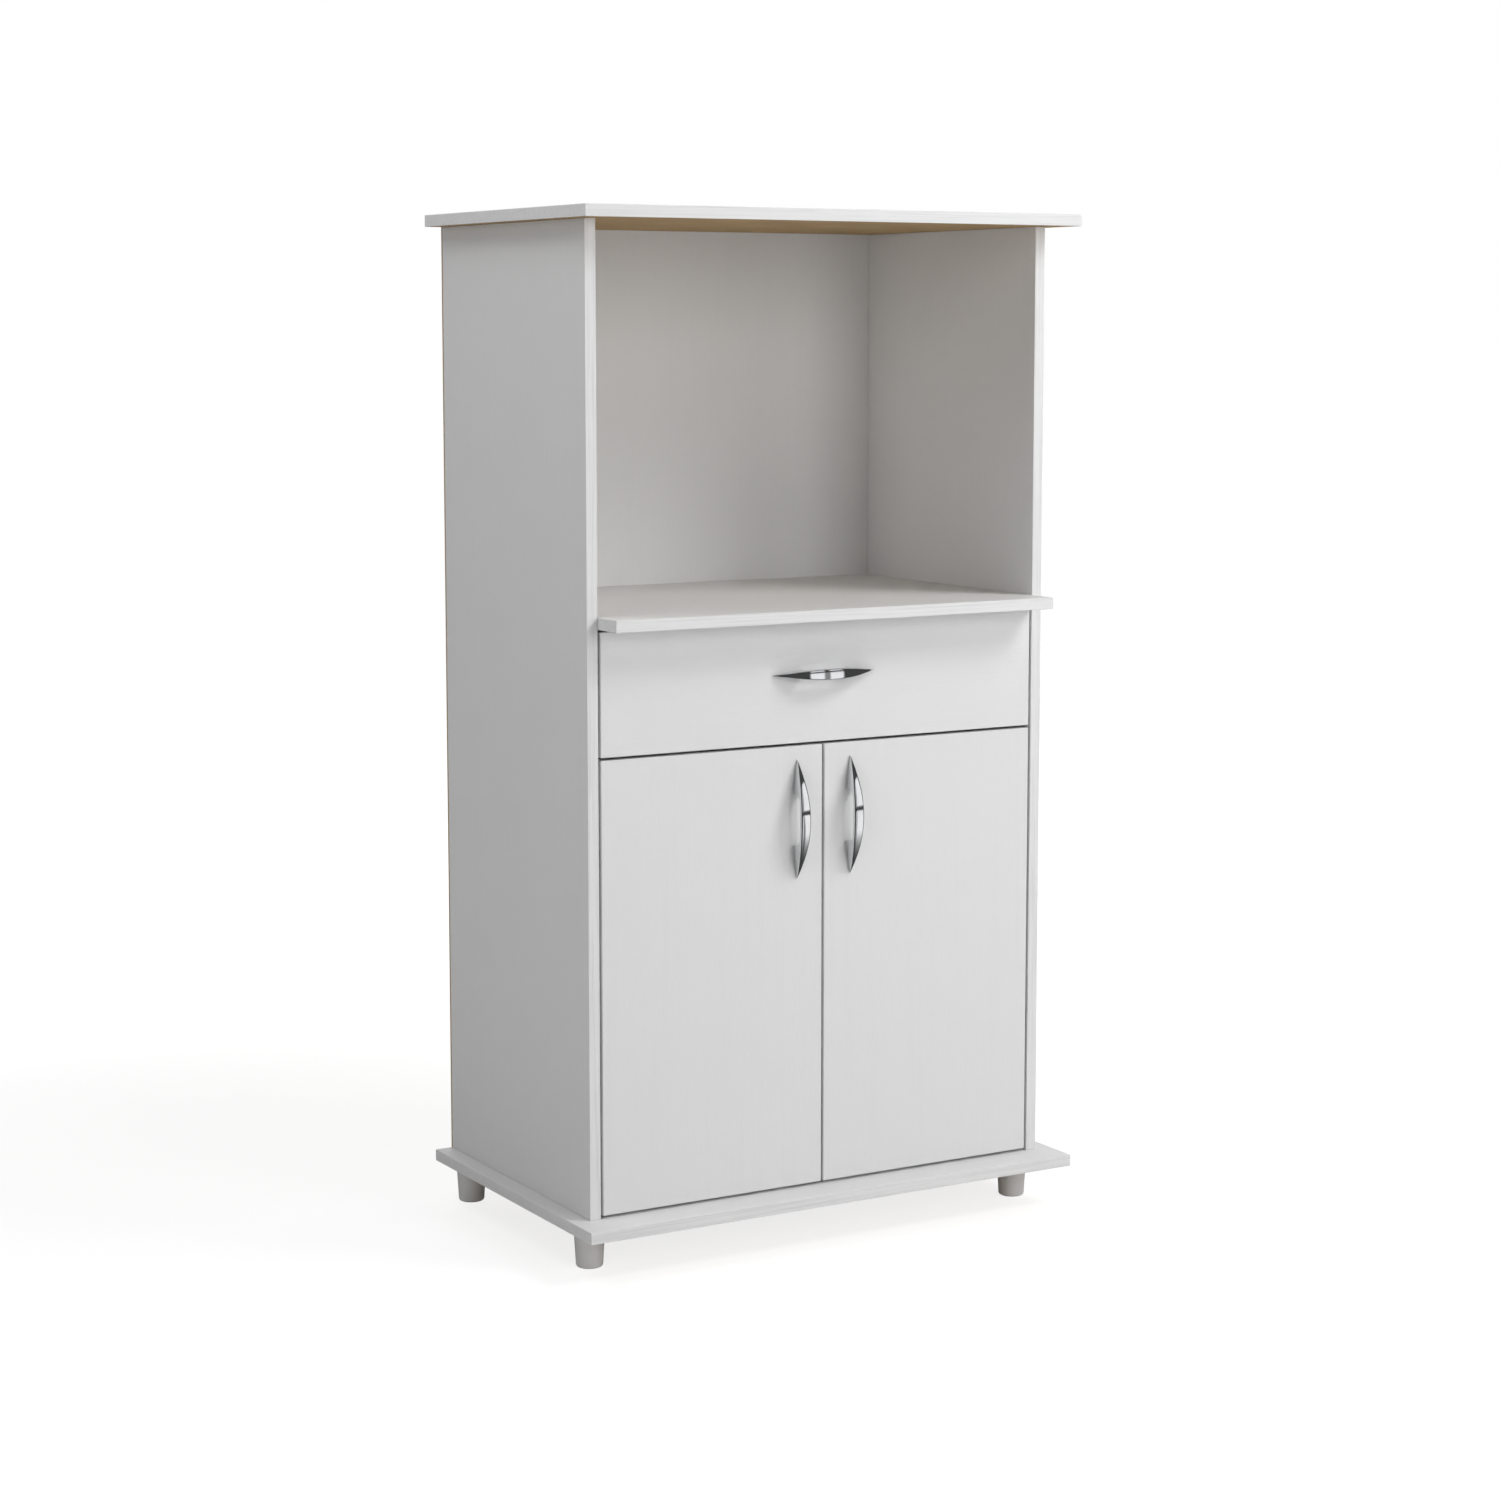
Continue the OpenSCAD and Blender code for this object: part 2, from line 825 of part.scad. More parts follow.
// The dowels from the right drawer side into the drawer back
module drawer_back_dowels(extra = 0) {
    for (z = drawer_dowel_points)
        translate([box_in_x + dowel_face_depth - drawer_dowel_len - extra, box_back - drawer_side_t / 2, z])
            rod_x(dowel_r + hole_fit(extra), drawer_dowel_len + 2 * extra);
}

module right_drawer_side() {
    color([0.9, 0.9, 0.9])
        difference() {
            block([box_in_x, front_back, box_z], [box_x, box_back, box_z + drawer_side_h]);
            drawer_groove();
            drawer_front_dowels(dowel_end_gap);
            drawer_back_dowels(dowel_end_gap);
            translate([drawer_screw_x, front_back, box_z + drawer_cam_up])
                rotate([-90, 0, 0])
                    cam_bolt_hole(drawer_cam_in);
            translate([box_in_x - over, front_back + drawer_cam_in, box_z + drawer_cam_up])
                rod_x(drawer_cam_r, drawer_cam_depth + fit + over);
            for (y = runner_screw_points)
                translate([drawer_screw_x, y, box_z - over])
                    cylinder(r = runner_screw_r + fit, h = runner_screw_len - runner_t + fit + over);
            translate([box_x - fit, rear_roller_y, rear_roller_z])
                rod_x(axle_r + fit, over);
        }
}

module left_drawer_side() {
    mirror([1, 0, 0])
        right_drawer_side();
}

// The drawer back stands on the drawer bottom, between the sides
module drawer_back() {
    color([0.9, 0.9, 0.9])
        difference() {
            block([-box_in_x, box_back - drawer_side_t, bottom_z + back_t + groove_fit],
                [box_in_x, box_back, box_z + drawer_side_h]);
            both_sides()
                drawer_back_dowels(dowel_end_gap);
        }
}

module drawer_bottom() {
    slack = groove_depth - 2 * groove_fit;
    color([0.88, 0.87, 0.84])
        block([-box_in_x - slack, front_back - slack, bottom_z],
            [box_in_x + slack, box_back, bottom_z + back_t]);
}

module drawer_dowels() {
    color([0.8, 0.66, 0.45])
        both_sides() {
            drawer_front_dowels();
            drawer_back_dowels();
        }
}

module drawer_cam_bolts() {
    color([0.75, 0.76, 0.78])
        both_sides()
            translate([drawer_screw_x, front_back, box_z + drawer_cam_up])
                rotate([-90, 0, 0])
                    cam_bolt(drawer_cam_in);
}

// The cam in a drawer side, with its bore across it at half the side's thickness
module drawer_cam_locks() {
    color([0.62, 0.63, 0.65])
        both_sides()
            translate([box_in_x, front_back + drawer_cam_in, box_z + drawer_cam_up])
                difference() {
                    rod_x(drawer_cam_r - fit, drawer_cam_depth);
                    translate([drawer_side_t / 2, -drawer_cam_r - over, 0])
                        rod_y(cam_head_r + 2 * fit, drawer_cam_r + over + cam_head_len / 2 + 2 * fit);
                    translate([-over, -cam_slot_w / 2, -cam_slot_len / 2])
                        cube([cam_slot_depth + over, cam_slot_w, cam_slot_len]);
                }
}

// A bow on two solid feet. It lies along X, stands out along -Y and is centred at zero.
module handle() {
    difference() {
        intersection() {
            linear_extrude(height = handle_w + over, center = true)
                handle_side();
            rotate([90, 0, 0])
                linear_extrude(height = handle_out + over)
                    handle_face();
        }
        for (side = [-1, 1])
            translate([side * screw_half_gap, -handle_screw_into - fit, 0])
                rod_y(handle_screw_r + fit, handle_screw_into + fit + over);
    }
}

// The handle seen from its edge: a long arc from tip to tip, less the arch for the fingers
module handle_side() {
    difference() {
        intersection() {
            translate([0, outer_arc_r - handle_out])
                circle(r = outer_arc_r, $fn = arc_fn);
            translate([-handle_half, -handle_out - over])
                square([handle_len, handle_out + over]);
        }
        handle_arch();
    }
}

// The arch: a shallow arc on top, and on each side a round corner that it runs into
module handle_arch() {
    polygon(concat(
        [[-arch_half, over], [arch_half, over], [arch_half, -arch_corner_up]],
        arch_arc([arch_corner_x, -arch_corner_up], arch_corner_r, 0, arch_lean),
        arch_arc([0, inner_arc_r - inner_sag], inner_arc_r, arch_lean, 180 - arch_lean),
        arch_arc([-arch_corner_x, -arch_corner_up], arch_corner_r, 180 - arch_lean, 180)));
}

// The points of one arc after its first. An angle is measured from +X towards -Y.
function arch_arc(centre, r, first, last) = [
    for (i = [1:arch_steps])
        let (angle = first + (last - first) * i / arch_steps)
            centre + r * [cos(angle), -sin(angle)]
];

// The handle seen from the front: a lens with pointed ends
module handle_face() {
    intersection() {
        translate([0, width_arc_r - handle_w / 2])
            circle(r = width_arc_r, $fn = arc_fn);
        translate([0, handle_w / 2 - width_arc_r])
            circle(r = width_arc_r, $fn = arc_fn);
    }
}

// The two screws of a handle, from the back of the front that it is on
module handle_screws(extra = 0) {
    for (side = [-1, 1])
        translate([side * screw_half_gap, 0, 0]) {
            translate([0, -handle_screw_into, 0])
                rod_y(handle_screw_r + extra, handle_screw_into + board_t + (extra > 0 ? over : 0));
            if (extra == 0)
                translate([0, board_t, 0])
                    rod_y(handle_screw_head_r, handle_screw_head_h);
        }
}

module drawer_handle_place() {
    translate([0, side_front, drawer_handle_z])
        children();
}

// A door handle stands upright
module right_handle_place() {
    translate([door_handle_in, side_front, door_handle_z])
        rotate([0, 90, 0])
            children();
}

module drawer_handle() {
    color([0.8, 0.81, 0.83])
        drawer_handle_place()
            handle();
}

module drawer_handle_screws() {
    color([0.75, 0.76, 0.78])
        drawer_handle_place()
            handle_screws();
}

module right_door_handle() {
    color([0.8, 0.81, 0.83])
        right_handle_place()
            handle();
}

module left_door_handle() {
    mirror([1, 0, 0])
        right_door_handle();
}

module right_door_handle_screws() {
    color([0.75, 0.76, 0.78])
        right_handle_place()
            handle_screws();
}

module left_door_handle_screws() {
    mirror([1, 0, 0])
        right_door_handle_screws();
}

// The right door, with a round pocket for each hinge cup
module right_door() {
    color([0.91, 0.91, 0.91])
        difference() {
            block([door_edge_x - door_w, side_front, door_bottom], [door_edge_x, front_back, door_top]);
            for (z = hinge_z)
                translate([cup_x, front_back, z]) {
                    translate([0, -cup_depth, 0])
                        rod_y(cup_r + fit, cup_depth + over);
                    cup_screw_holes(fit);
                }
            right_handle_place()
                handle_screws(fit);
        }
}

module left_door() {
    mirror([1, 0, 0])
        right_door();
}

// The screw places of a cup's ears, from the back face of the door
module cup_screw_holes(extra) {
    for (side = [-1, 1])
        translate([-ear_in, -cup_screw_len + flange_t - extra, side * ear_screw_half])
            rod_y(cup_screw_r + extra, cup_screw_len + over);
}

// A hinge cup: a round shell in the pocket, a flange on the door, and lugs that hold the pin
module right_hinge_cups() {
    color([0.74, 0.75, 0.77])
        for (z = hinge_z)
            translate([cup_x, front_back, z])
                difference() {
                    union() {
                        hinge_cup_shell();
                        intersection() {
                            translate([0, -cup_depth, 0])
                                rod_y(cup_r - cup_wall / 2, cup_depth);
                            both_lugs();
                        }
                    }
                    cup_screw_holes(fit);
                    translate([cup_in - pivot_in, pivot_back - board_t, -cup_r - over])
                        cylinder(r = hinge_pin_r + fit, h = 2 * (cup_r + over));
                }
}

module hinge_cup_shell() {
    difference() {
        union() {
            translate([0, -cup_depth, 0])
                rod_y(cup_r, cup_depth);
            rod_y(flange_r, flange_t);
            block([-ear_in - ear_w / 2, 0, -ear_half], [ear_w / 2 - ear_in, flange_t, ear_half]);
        }
        translate([0, cup_floor_t - cup_depth, 0])
            rod_y(cup_r - cup_wall, cup_depth + flange_t + over);
    }
}

module both_lugs() {
    for (side = [0, 1])
        mirror([0, 0, side])
            block([cup_in - pivot_in - lug_half, -cup_depth, lug_near],
                [cup_r, pivot_back - board_t + lug_half, lug_far]);
}

module left_hinge_cups() {
    mirror([1, 0, 0])
        right_hinge_cups();
}

module right_hinge_pins() {
    color([0.6, 0.61, 0.63])
        for (z = hinge_z)
            translate([pivot_x, pivot_y, z - hinge_pin_half])
                cylinder(r = hinge_pin_r, h = 2 * hinge_pin_half);
}

module left_hinge_pins() {
    mirror([1, 0, 0])
        right_hinge_pins();
}

module right_cup_screws() {
    color([0.75, 0.76, 0.78])
        for (z = hinge_z)
            for (side = [-1, 1])
                translate([cup_x - ear_in, front_back + flange_t, z + side * ear_screw_half]) {
                    rod_y(cup_screw_head_r, cup_screw_head_h);
                    translate([0, -cup_screw_len, 0])
                        rod_y(cup_screw_r, cup_screw_len);
                }
}

module left_cup_screws() {
    mirror([1, 0, 0])
        right_cup_screws();
}

// A hinge arm: an eye on the pin, in and back round the door's corner, then back along the plate
module right_hinge_arms() {
    half = arm_t / 2;
    near_x = pivot_x - arm_reach;
    color([0.72, 0.73, 0.75])
        for (z = hinge_z)
            translate([0, 0, z - arm_half])
                difference() {
                    union() {
                        translate([pivot_x, pivot_y, 0])
                            cylinder(r = eye_r, h = 2 * arm_half);
                        block([near_x - half, pivot_y - half, 0], [pivot_x, pivot_y + half, 2 * arm_half]);
                        block([near_x - half, pivot_y - half, 0],
                            [near_x + half, arm_bend_y + half, 2 * arm_half]);
                        block([near_x - half, arm_bend_y - half, 0],
                            [arm_face_x + arm_t, arm_bend_y + half, 2 * arm_half]);
                        block([arm_face_x, arm_bend_y - half, 0],
                            [arm_face_x + arm_t, arm_bend_y + arm_tail, 2 * arm_half]);
                    }
                    translate([pivot_x, pivot_y, -over])
                        cylinder(r = hinge_pin_r + fit, h = 2 * (arm_half + over));
                    translate([arm_face_x - over, arm_screw_y, arm_half])
                        rod_x(arm_screw_r + fit, arm_t + 2 * over);
                }
}

module left_hinge_arms() {
    mirror([1, 0, 0])
        right_hinge_arms();
}

// A mounting plate: a rail under the arm and two wings that are screwed to the side panel
module right_hinge_plates() {
    color([0.74, 0.75, 0.77])
        for (z = hinge_z)
            translate([0, 0, z])
                difference() {
                    union() {
                        block([inner_x - plate_t, plate_y, -rail_half],
                            [inner_x, arm_bend_y + arm_tail + arm_t, rail_half]);
                        block([inner_x - wing_t, plate_y + wing_in, -wing_half],
                            [inner_x, plate_y + wing_in + wing_w, wing_half]);
                    }
                    for (side = [-1, 1])
                        translate([inner_x - plate_t - over, plate_screw_y, side * plate_screw_half])
                            rod_x(plate_screw_r + fit, plate_t + 2 * over);
                    translate([inner_x - plate_t - over, arm_screw_y, 0])
                        rod_x(arm_screw_r + fit, plate_t + over - fit);
                }
}

module left_hinge_plates() {
    mirror([1, 0, 0])
        right_hinge_plates();
}

module hinge_plate_screws() {
    color([0.75, 0.76, 0.78])
        both_sides()
            for (z = hinge_z)
                for (side = [-1, 1])
                    translate([inner_x - wing_t, plate_screw_y, z + side * plate_screw_half])
                        head_screw_x(plate_screw_r, plate_screw_len, plate_screw_head_r, plate_screw_head_h);
}

module hinge_arm_screws() {
    color([0.75, 0.76, 0.78])
        both_sides()
            for (z = hinge_z)
                translate([arm_face_x, arm_screw_y, z])
                    head_screw_x(arm_screw_r, arm_t + plate_t - 3 * fit, arm_screw_head_r,
                        arm_screw_head_h);
}

top_board();
base_board();
left_side_panel();
right_side_panel();
niche_shelf();
back_panel();
inner_shelf();
shelf_pins();
panel_screws();
panel_dowels();
shelf_cam_bolts();
shelf_cam_locks();
back_nails();
front_left_foot();
front_right_foot();
rear_left_foot();
rear_right_foot();
foot_studs();
foot_insert_nuts();
left_cabinet_runner();
right_cabinet_runner();
cabinet_runner_screws();
front_roller_axles();
left_front_roller();
right_front_roller();
drawer_front();
left_drawer_side();
right_drawer_side();
drawer_back();
drawer_bottom();
drawer_dowels();
drawer_cam_bolts();
drawer_cam_locks();
left_drawer_runner();
right_drawer_runner();
drawer_runner_screws();
rear_roller_axles();
left_rear_roller();
right_rear_roller();
drawer_handle();
drawer_handle_screws();
left_door();
left_door_handle();
left_door_handle_screws();
left_hinge_cups();
left_hinge_pins();
left_cup_screws();
right_door();
right_door_handle();
right_door_handle_screws();
right_hinge_cups();
right_hinge_pins();
right_cup_screws();
left_hinge_arms();
right_hinge_arms();
left_hinge_plates();
right_hinge_plates();
hinge_plate_screws();
hinge_arm_screws();
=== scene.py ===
import json
import math

import bmesh
import bpy
from mathutils import Matrix, Vector

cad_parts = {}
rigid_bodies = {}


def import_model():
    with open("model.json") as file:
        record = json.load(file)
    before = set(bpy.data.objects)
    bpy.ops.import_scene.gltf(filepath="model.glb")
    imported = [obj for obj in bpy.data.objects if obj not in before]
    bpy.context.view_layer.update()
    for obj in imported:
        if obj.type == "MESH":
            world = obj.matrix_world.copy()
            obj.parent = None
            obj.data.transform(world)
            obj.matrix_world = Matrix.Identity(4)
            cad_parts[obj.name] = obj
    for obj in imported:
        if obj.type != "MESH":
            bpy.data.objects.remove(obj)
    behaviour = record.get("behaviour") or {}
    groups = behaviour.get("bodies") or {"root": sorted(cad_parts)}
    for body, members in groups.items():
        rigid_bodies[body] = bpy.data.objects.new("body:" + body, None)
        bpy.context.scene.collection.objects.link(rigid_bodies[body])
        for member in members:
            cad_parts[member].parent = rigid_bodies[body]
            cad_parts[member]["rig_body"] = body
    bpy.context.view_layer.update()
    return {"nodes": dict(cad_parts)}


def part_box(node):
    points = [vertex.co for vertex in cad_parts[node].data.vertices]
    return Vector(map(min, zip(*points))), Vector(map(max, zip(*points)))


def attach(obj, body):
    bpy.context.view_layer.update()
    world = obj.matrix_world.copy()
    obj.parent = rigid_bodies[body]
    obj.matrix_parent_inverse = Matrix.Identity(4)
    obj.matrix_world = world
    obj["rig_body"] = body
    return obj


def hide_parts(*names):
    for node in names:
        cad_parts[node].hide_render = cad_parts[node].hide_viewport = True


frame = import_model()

MM = 0.001
DEGREES = 180 / math.pi
AXES = "XYZ"

# The camera, worked out from the corners of the boards in the photograph
PICTURE_PIXELS = 1500
SENSOR_MM = 36
FOCAL_PIXELS = 3101.5
CAMERA_PLACE = (-1.7101, -2.9155, 0.9700)
CAMERA_YAW = 0.5298
CAMERA_PITCH = -0.1161
CAMERA_SHIFT_Y = -0.04
CAMERA_REACH = 100

# The studio: an even fill, and soft boxes aimed at the cabinet's middle. Each has its azimuth and
# elevation in degrees, its distance, width and height, and its power in watts.
FILL = 0.03
LAMP_AIM_Z = 0.55
LAMPS = {
    "near key box": (11.7, 13.2, 3.0, 0.87, 1.38, 21),
    "far key box": (35.3, 13.2, 3.0, 0.92, 1.38, 9),
    "high right box": (45, 42, 2.8, 1.1, 0.9, 38),
    "front left box": (-55, 12, 3.0, 1.0, 1.4, 12.5),
    "high left box": (-100, 50, 2.8, 1.2, 1.2, 10),
    "steep left box": (-80, 62, 2.2, 1.0, 1.0, 9),
    "right box": (105, 25, 3.2, 1.2, 1.4, 14),
    "back box": (165, 25, 3.0, 1.6, 1.6, 24),
}

# The floor: a pale one, which the camera sees as white beyond the cabinet's shadow
FLOOR_HALF = 30
FLOOR_PALE = 0.80
FLOOR_SPECK = 0.77
FLOOR_WAVES = 160
FLOOR_SHADE = 0.3
FLOOR_GLOW = 0.8
FLOOR_FADE = (0.7, 2.2)

# What bright metal mirrors: two white papers that run away from the cabinet on a dark floor, with a
# grey gap between them, a white screen behind each of them, a dim room with a grey ceiling, and a
# white backdrop. Azimuth 0 is in front of the cabinet and 90 is to its right. Angles are degrees.
DIM_ROOM = 0.06
DIM_CEILING = 0.32
CEILING_FADE = (41, 59)
PAPER_WHITE = 0.95
PAPER_GAP = 0.22
PAPER_NEAR = (0.45, 1.35)
PAPER_FAR = (8, 11)
PAPER_SECTORS = [(3.5, 20), (26.5, 44)]
SCREEN_WHITE = 1.3
SCREEN_HEIGHTS = (1.6, 27)
SECTOR_EDGE = 3
BACKDROP_WHITE = 0.9
BACKDROP_FADE = (-0.05, 0.35)
BEHIND_WHITE = 0.85
BEHIND_FADE = (0.0, 1.2)


class Value:
    """A shader socket that can be used in Python sums: each operator adds a Math node."""

    def __init__(self, finish, socket):
        self.finish = finish
        self.socket = socket

    def out(self, name):
        """Another output of the same node."""
        return Value(self.finish, self.socket.node.outputs[name])

    def math(self, operation, *others):
        return self.finish.math(operation, self, *others)

    def __add__(self, other):
        return self.math("ADD", other)

    def __sub__(self, other):
        return self.math("SUBTRACT", other)

    def __rsub__(self, other):
        return self.finish.math("SUBTRACT", other, self)

    def __mul__(self, other):
        return self.math("MULTIPLY", other)

    __radd__ = __add__
    __rmul__ = __mul__

    def least(self, other):
        return self.math("MINIMUM", other)

    def most(self, other):
        return self.math("MAXIMUM", other)

    def step(self, low, high):
        """0 below low, 1 above high and a smooth rise between them."""
        settings = {"interpolation_type": "SMOOTHSTEP"}
        sockets = {"Value": self, "From Min": low, "From Max": high}
        return self.finish.node("ShaderNodeMapRange", settings, sockets)


class Finish:
    """The node tree of one material or world. node() makes every node in it."""

    def __init__(self, tree):
        self.tree = tree
        tree.nodes.clear()

    def node(self, kind, settings=None, sockets=None, output=0):
        """A node of this type with its settings made first, then its socket values or links."""
        made = self.tree.nodes.new(kind)
        for name, setting in (settings or {}).items():
            if name == "stops":
                self.set_stops(made.color_ramp.elements, setting)
            else:
                setattr(made, name, setting)
        for name, value in (sockets or {}).items():
            if isinstance(value, Value):
                self.tree.links.new(value.socket, made.inputs[name])
            else:
                made.inputs[name].default_value = value
        return Value(self, made.outputs[output]) if made.outputs else made

    def set_stops(self, elements, stops):
        """A ramp's stops, given as (place, colour) pairs."""
        while len(elements) < len(stops):
            elements.new(1.0)
        for element, (place, colour) in zip(elements, stops):
            element.position = place
            element.color = (*colour, 1)

    def math(self, operation, *terms):
        return self.node("ShaderNodeMath", {"operation": operation}, dict(enumerate(terms)))

    def place(self):
        """Where a point of the surface is, in metres. It stays with the piece as the piece moves."""
        return self.node("ShaderNodeTexCoord", output="Object")

    def facing(self):
        """The way that the surface faces, on the piece itself."""
        return self.node("ShaderNodeTexCoord", output="Normal")

    def parts(self, vector):
        """The X, Y and Z of a vector as three values."""
        split = self.node("ShaderNodeSeparateXYZ", sockets={0: vector})
        return [split.out(axis) for axis in AXES]

    def scaled(self, vector, scale):
        settings = {"operation": "MULTIPLY"}
        return self.node("ShaderNodeVectorMath", settings, {0: vector, 1: scale})

    def noise(self, vector, scale, detail=2.0, roughness=0.5):
        """Soft noise from 0 to 1, with this many waves to the metre."""
        sockets = {"Vector": vector, "Scale": scale, "Detail": detail, "Roughness": roughness}
        return self.node("ShaderNodeTexNoise", sockets=sockets)

    def mix(self, factor, first, second):
        """One colour where factor is 0 and the other where it is 1."""
        sockets = {"Factor": factor, 6: first, 7: second}
        return self.node("ShaderNodeMix", {"data_type": "RGBA"}, sockets, output=2)

    def bump(self, height, depth, strength=1.0):
        """A normal from a height of 0 to 1, where 1 stands this many metres proud."""
        sockets = {"Height": height, "Distance": depth, "Strength": strength}
        return self.node("ShaderNodeBump", sockets=sockets)


def surface(name, colour_rough_normal, **constants):
    """A material from a function that gives its colour, roughness and normal."""
    material = bpy.data.materials.new(name)
    material.use_nodes = True
    finish = Finish(material.node_tree)
    colour, rough, normal = colour_rough_normal(finish)
    sockets = {"Base Color": colour, "Roughness": rough, "Normal": normal, **constants}
    shader = finish.node("ShaderNodeBsdfPrincipled", sockets=sockets)
    finish.node("ShaderNodeOutputMaterial", sockets={"Surface": shader})
    return material


# Colours, as linear red, green and blue
WHITE_FILM = (0.79, 0.79, 0.79, 1)
GREY_STREAK = (0.737, 0.737, 0.738, 1)
EDGE_BAND = (0.80, 0.80, 0.80, 1)
BAND_STREAK = (0.66, 0.66, 0.665, 1)
GLUE_LINE = (0.56, 0.55, 0.53, 1)
RUBBED_EDGE = (0.70, 0.70, 0.69, 1)
CHIP_STOPS = [(0.0, (0.30, 0.19, 0.10)), (0.4, (0.46, 0.32, 0.19)), (0.7, (0.56, 0.42, 0.27)),
              (1.0, (0.66, 0.53, 0.37))]
FIBRE_STOPS = [(0.25, (0.33, 0.21, 0.10)), (0.5, (0.46, 0.31, 0.155)), (0.8, (0.58, 0.42, 0.23))]


# How fine each pattern is, in waves to the metre: along the grain and across it, on each axis, or alike
# on all of them
PORE_WAVES = (70, 2200)
STREAK_WAVES = (4, 190)
BAND_WAVES = (9, 520)
CLOUD_WAVES = 7
RUBBED_WAVES = 60
SMUDGE_WAVES = 11
CHIP_WAVES = (430, 430, 900)
DUST_WAVES = 2600
HAIR_WAVES = (900, 2400, 900)
FIBRE_CLOUD_WAVES = 22
SCRATCH_WAVES = (180, 1900, 1900)
PLASTIC_WAVES = 2300
NYLON_WAVES = 1500
FLOW_WAVES = (30, 30, 110)
SCUFF_WAVES = 240
PEEL_WAVES = 700
COAT_RUB_WAVES = (400, 25, 400)
FLECK_WAVES = (500, 500, 500)
METAL_CLOUD_WAVES = 90
CHROME_CLOUD_WAVES = 60
CAST_CLOUD_WAVES = 260

# Where the noise of each pattern starts to show and where it shows in full
PORE_FADE = (0.42, 0.62)
STREAK_FADE = (0.45, 0.75)
BAND_FADE = (0.4, 0.75)
RUBBED_FADE = (0.52, 0.72)
METAL_CLOUD_FADE = (0.35, 0.75)
SCRATCH_FADE = (0.55, 0.8)
SCUFF_FADE = (0.6, 0.8)
COAT_RUB_FADE = (0.55, 0.75)
FLECK_FADE = (0.45, 0.7)

# How squarely the surface of a board has to look along an axis to be its face or one of its sides
FACE_FADE = (0.6, 0.8)
SIDE_FADE = (0.75, 0.85)

# How far each pattern takes the colour towards its own darker one
FILM_STREAK = 0.16
FILM_CLOUD = 0.08
FILM_PORE = 0.12
BAND_DARK = 0.6
GLUE_DARK = 0.6
RUBBED_DARK = 0.45
FLOW_DARK = 0.5
SCUFF_DARK = 0.35
COAT_RUB_DARK = 0.6

# How rough each finish is and how much each pattern changes that. The metals' are shares of their own
# roughness, and the last two say how strongly film and plastic shine.
FILM_ROUGH = 0.4
SMUDGE_ROUGH = 0.12
PORE_ROUGH = 0.08
RUBBED_SMOOTH = 0.12
RAW_ROUGH = 0.4
METAL_EVEN_SHARE = 0.8
METAL_CLOUD_SHARE = 0.5
FLOW_ROUGH = 0.1
SCUFF_ROUGH = 0.15
COAT_ROUGH = 0.32
COAT_RUB_ROUGH = 0.15
WOOD_ROUGH = 0.6
FLECK_ROUGH = 0.1
BOARD_SPECULAR = 0.42
PLASTIC_SPECULAR = 0.4

# How much one of two mixed patterns counts, as a share of both
CHIP_SHARE = 0.75
CHIP_HEIGHT_SHARE = 0.7
HAIR_SHARE = 0.7
SCRATCH_SHARE = 0.5

# How far in from its edges a board shows the glue line of its band and is rubbed, and the distance that
# stands for no band at all
GLUE_IN = 0.5 * MM
GLUE_HALF = 0.12 * MM
RUBBED_TO = (0.2 * MM, 1.1 * MM)
NO_BAND = 1.0

# How deep the patterns are. The first two are shares of a pore's depth.
PORE_SHARE = 0.8
RAW_SHARE = 4
PORE_DEPTH = 0.05 * MM
METAL_DEPTH = 0.012 * MM
CHROME_DEPTH = 0.002 * MM
PLASTIC_DEPTH = 0.02 * MM
PEEL_DEPTH = 0.03 * MM
FLECK_DEPTH = 0.04 * MM

# How much of its depth the relief of metal shows
METAL_BUMP = 0.5


def stretch_along(grain, waves):
    """Waves to the metre on each axis for a pattern drawn out along the grain."""
    along, across = waves
    return tuple(along if axis == grain else across for axis in AXES)


def pores(finish, place, grain):
    """The fine pressed pores of the film: under half a millimetre wide and about 14 mm long."""
    fine = finish.noise(finish.scaled(place, stretch_along(grain, PORE_WAVES)), 1.0)
    return fine.step(*PORE_FADE)


def chipboard(finish, place):
    """The raw core of a board: glued chips a few millimetres long."""
    sockets = {"Vector": finish.scaled(place, CHIP_WAVES), "Scale": 1.0}
    chip = finish.node("ShaderNodeTexVoronoi", {"feature": "F1"}, sockets, "Color")
    shade = finish.node("ShaderNodeSeparateColor", sockets={0: chip})
    dust = finish.noise(place, DUST_WAVES, detail=3.0)
    mixed = shade * CHIP_SHARE + dust * (1 - CHIP_SHARE)
    ramp = finish.node("ShaderNodeValToRGB", {"stops": CHIP_STOPS}, {0: mixed})
    return ramp, shade.out("Green") * CHIP_HEIGHT_SHARE + dust * (1 - CHIP_HEIGHT_SHARE)


def fibreboard(finish, place):
    """Raw pressed fibre: brown, with short darker hairs and soft clouds."""
    hairs = finish.noise(finish.scaled(place, HAIR_WAVES), 1.0, detail=4.0, roughness=0.65)
    clouds = finish.noise(place, FIBRE_CLOUD_WAVES, detail=3.0)
    mixed = hairs * HAIR_SHARE + clouds * (1 - HAIR_SHARE)
    return finish.node("ShaderNodeValToRGB", {"stops": FIBRE_STOPS}, {0: mixed}), hairs


def side_distance(places, box, side):
    """How far a point lies in from one side of a board, where a side is a sign and an axis."""
    axis = AXES.index(side[1])
    low, high = box[0][axis], box[1][axis]
    return high - places[axis] if side[0] == "+" else places[axis] - low


def faces_side(facings, side):
    """1 on the face of a board that looks to this side."""
    sign = 1 if side[0] == "+" else -1
    return (facings[AXES.index(side[1])] * sign).step(*SIDE_FADE)


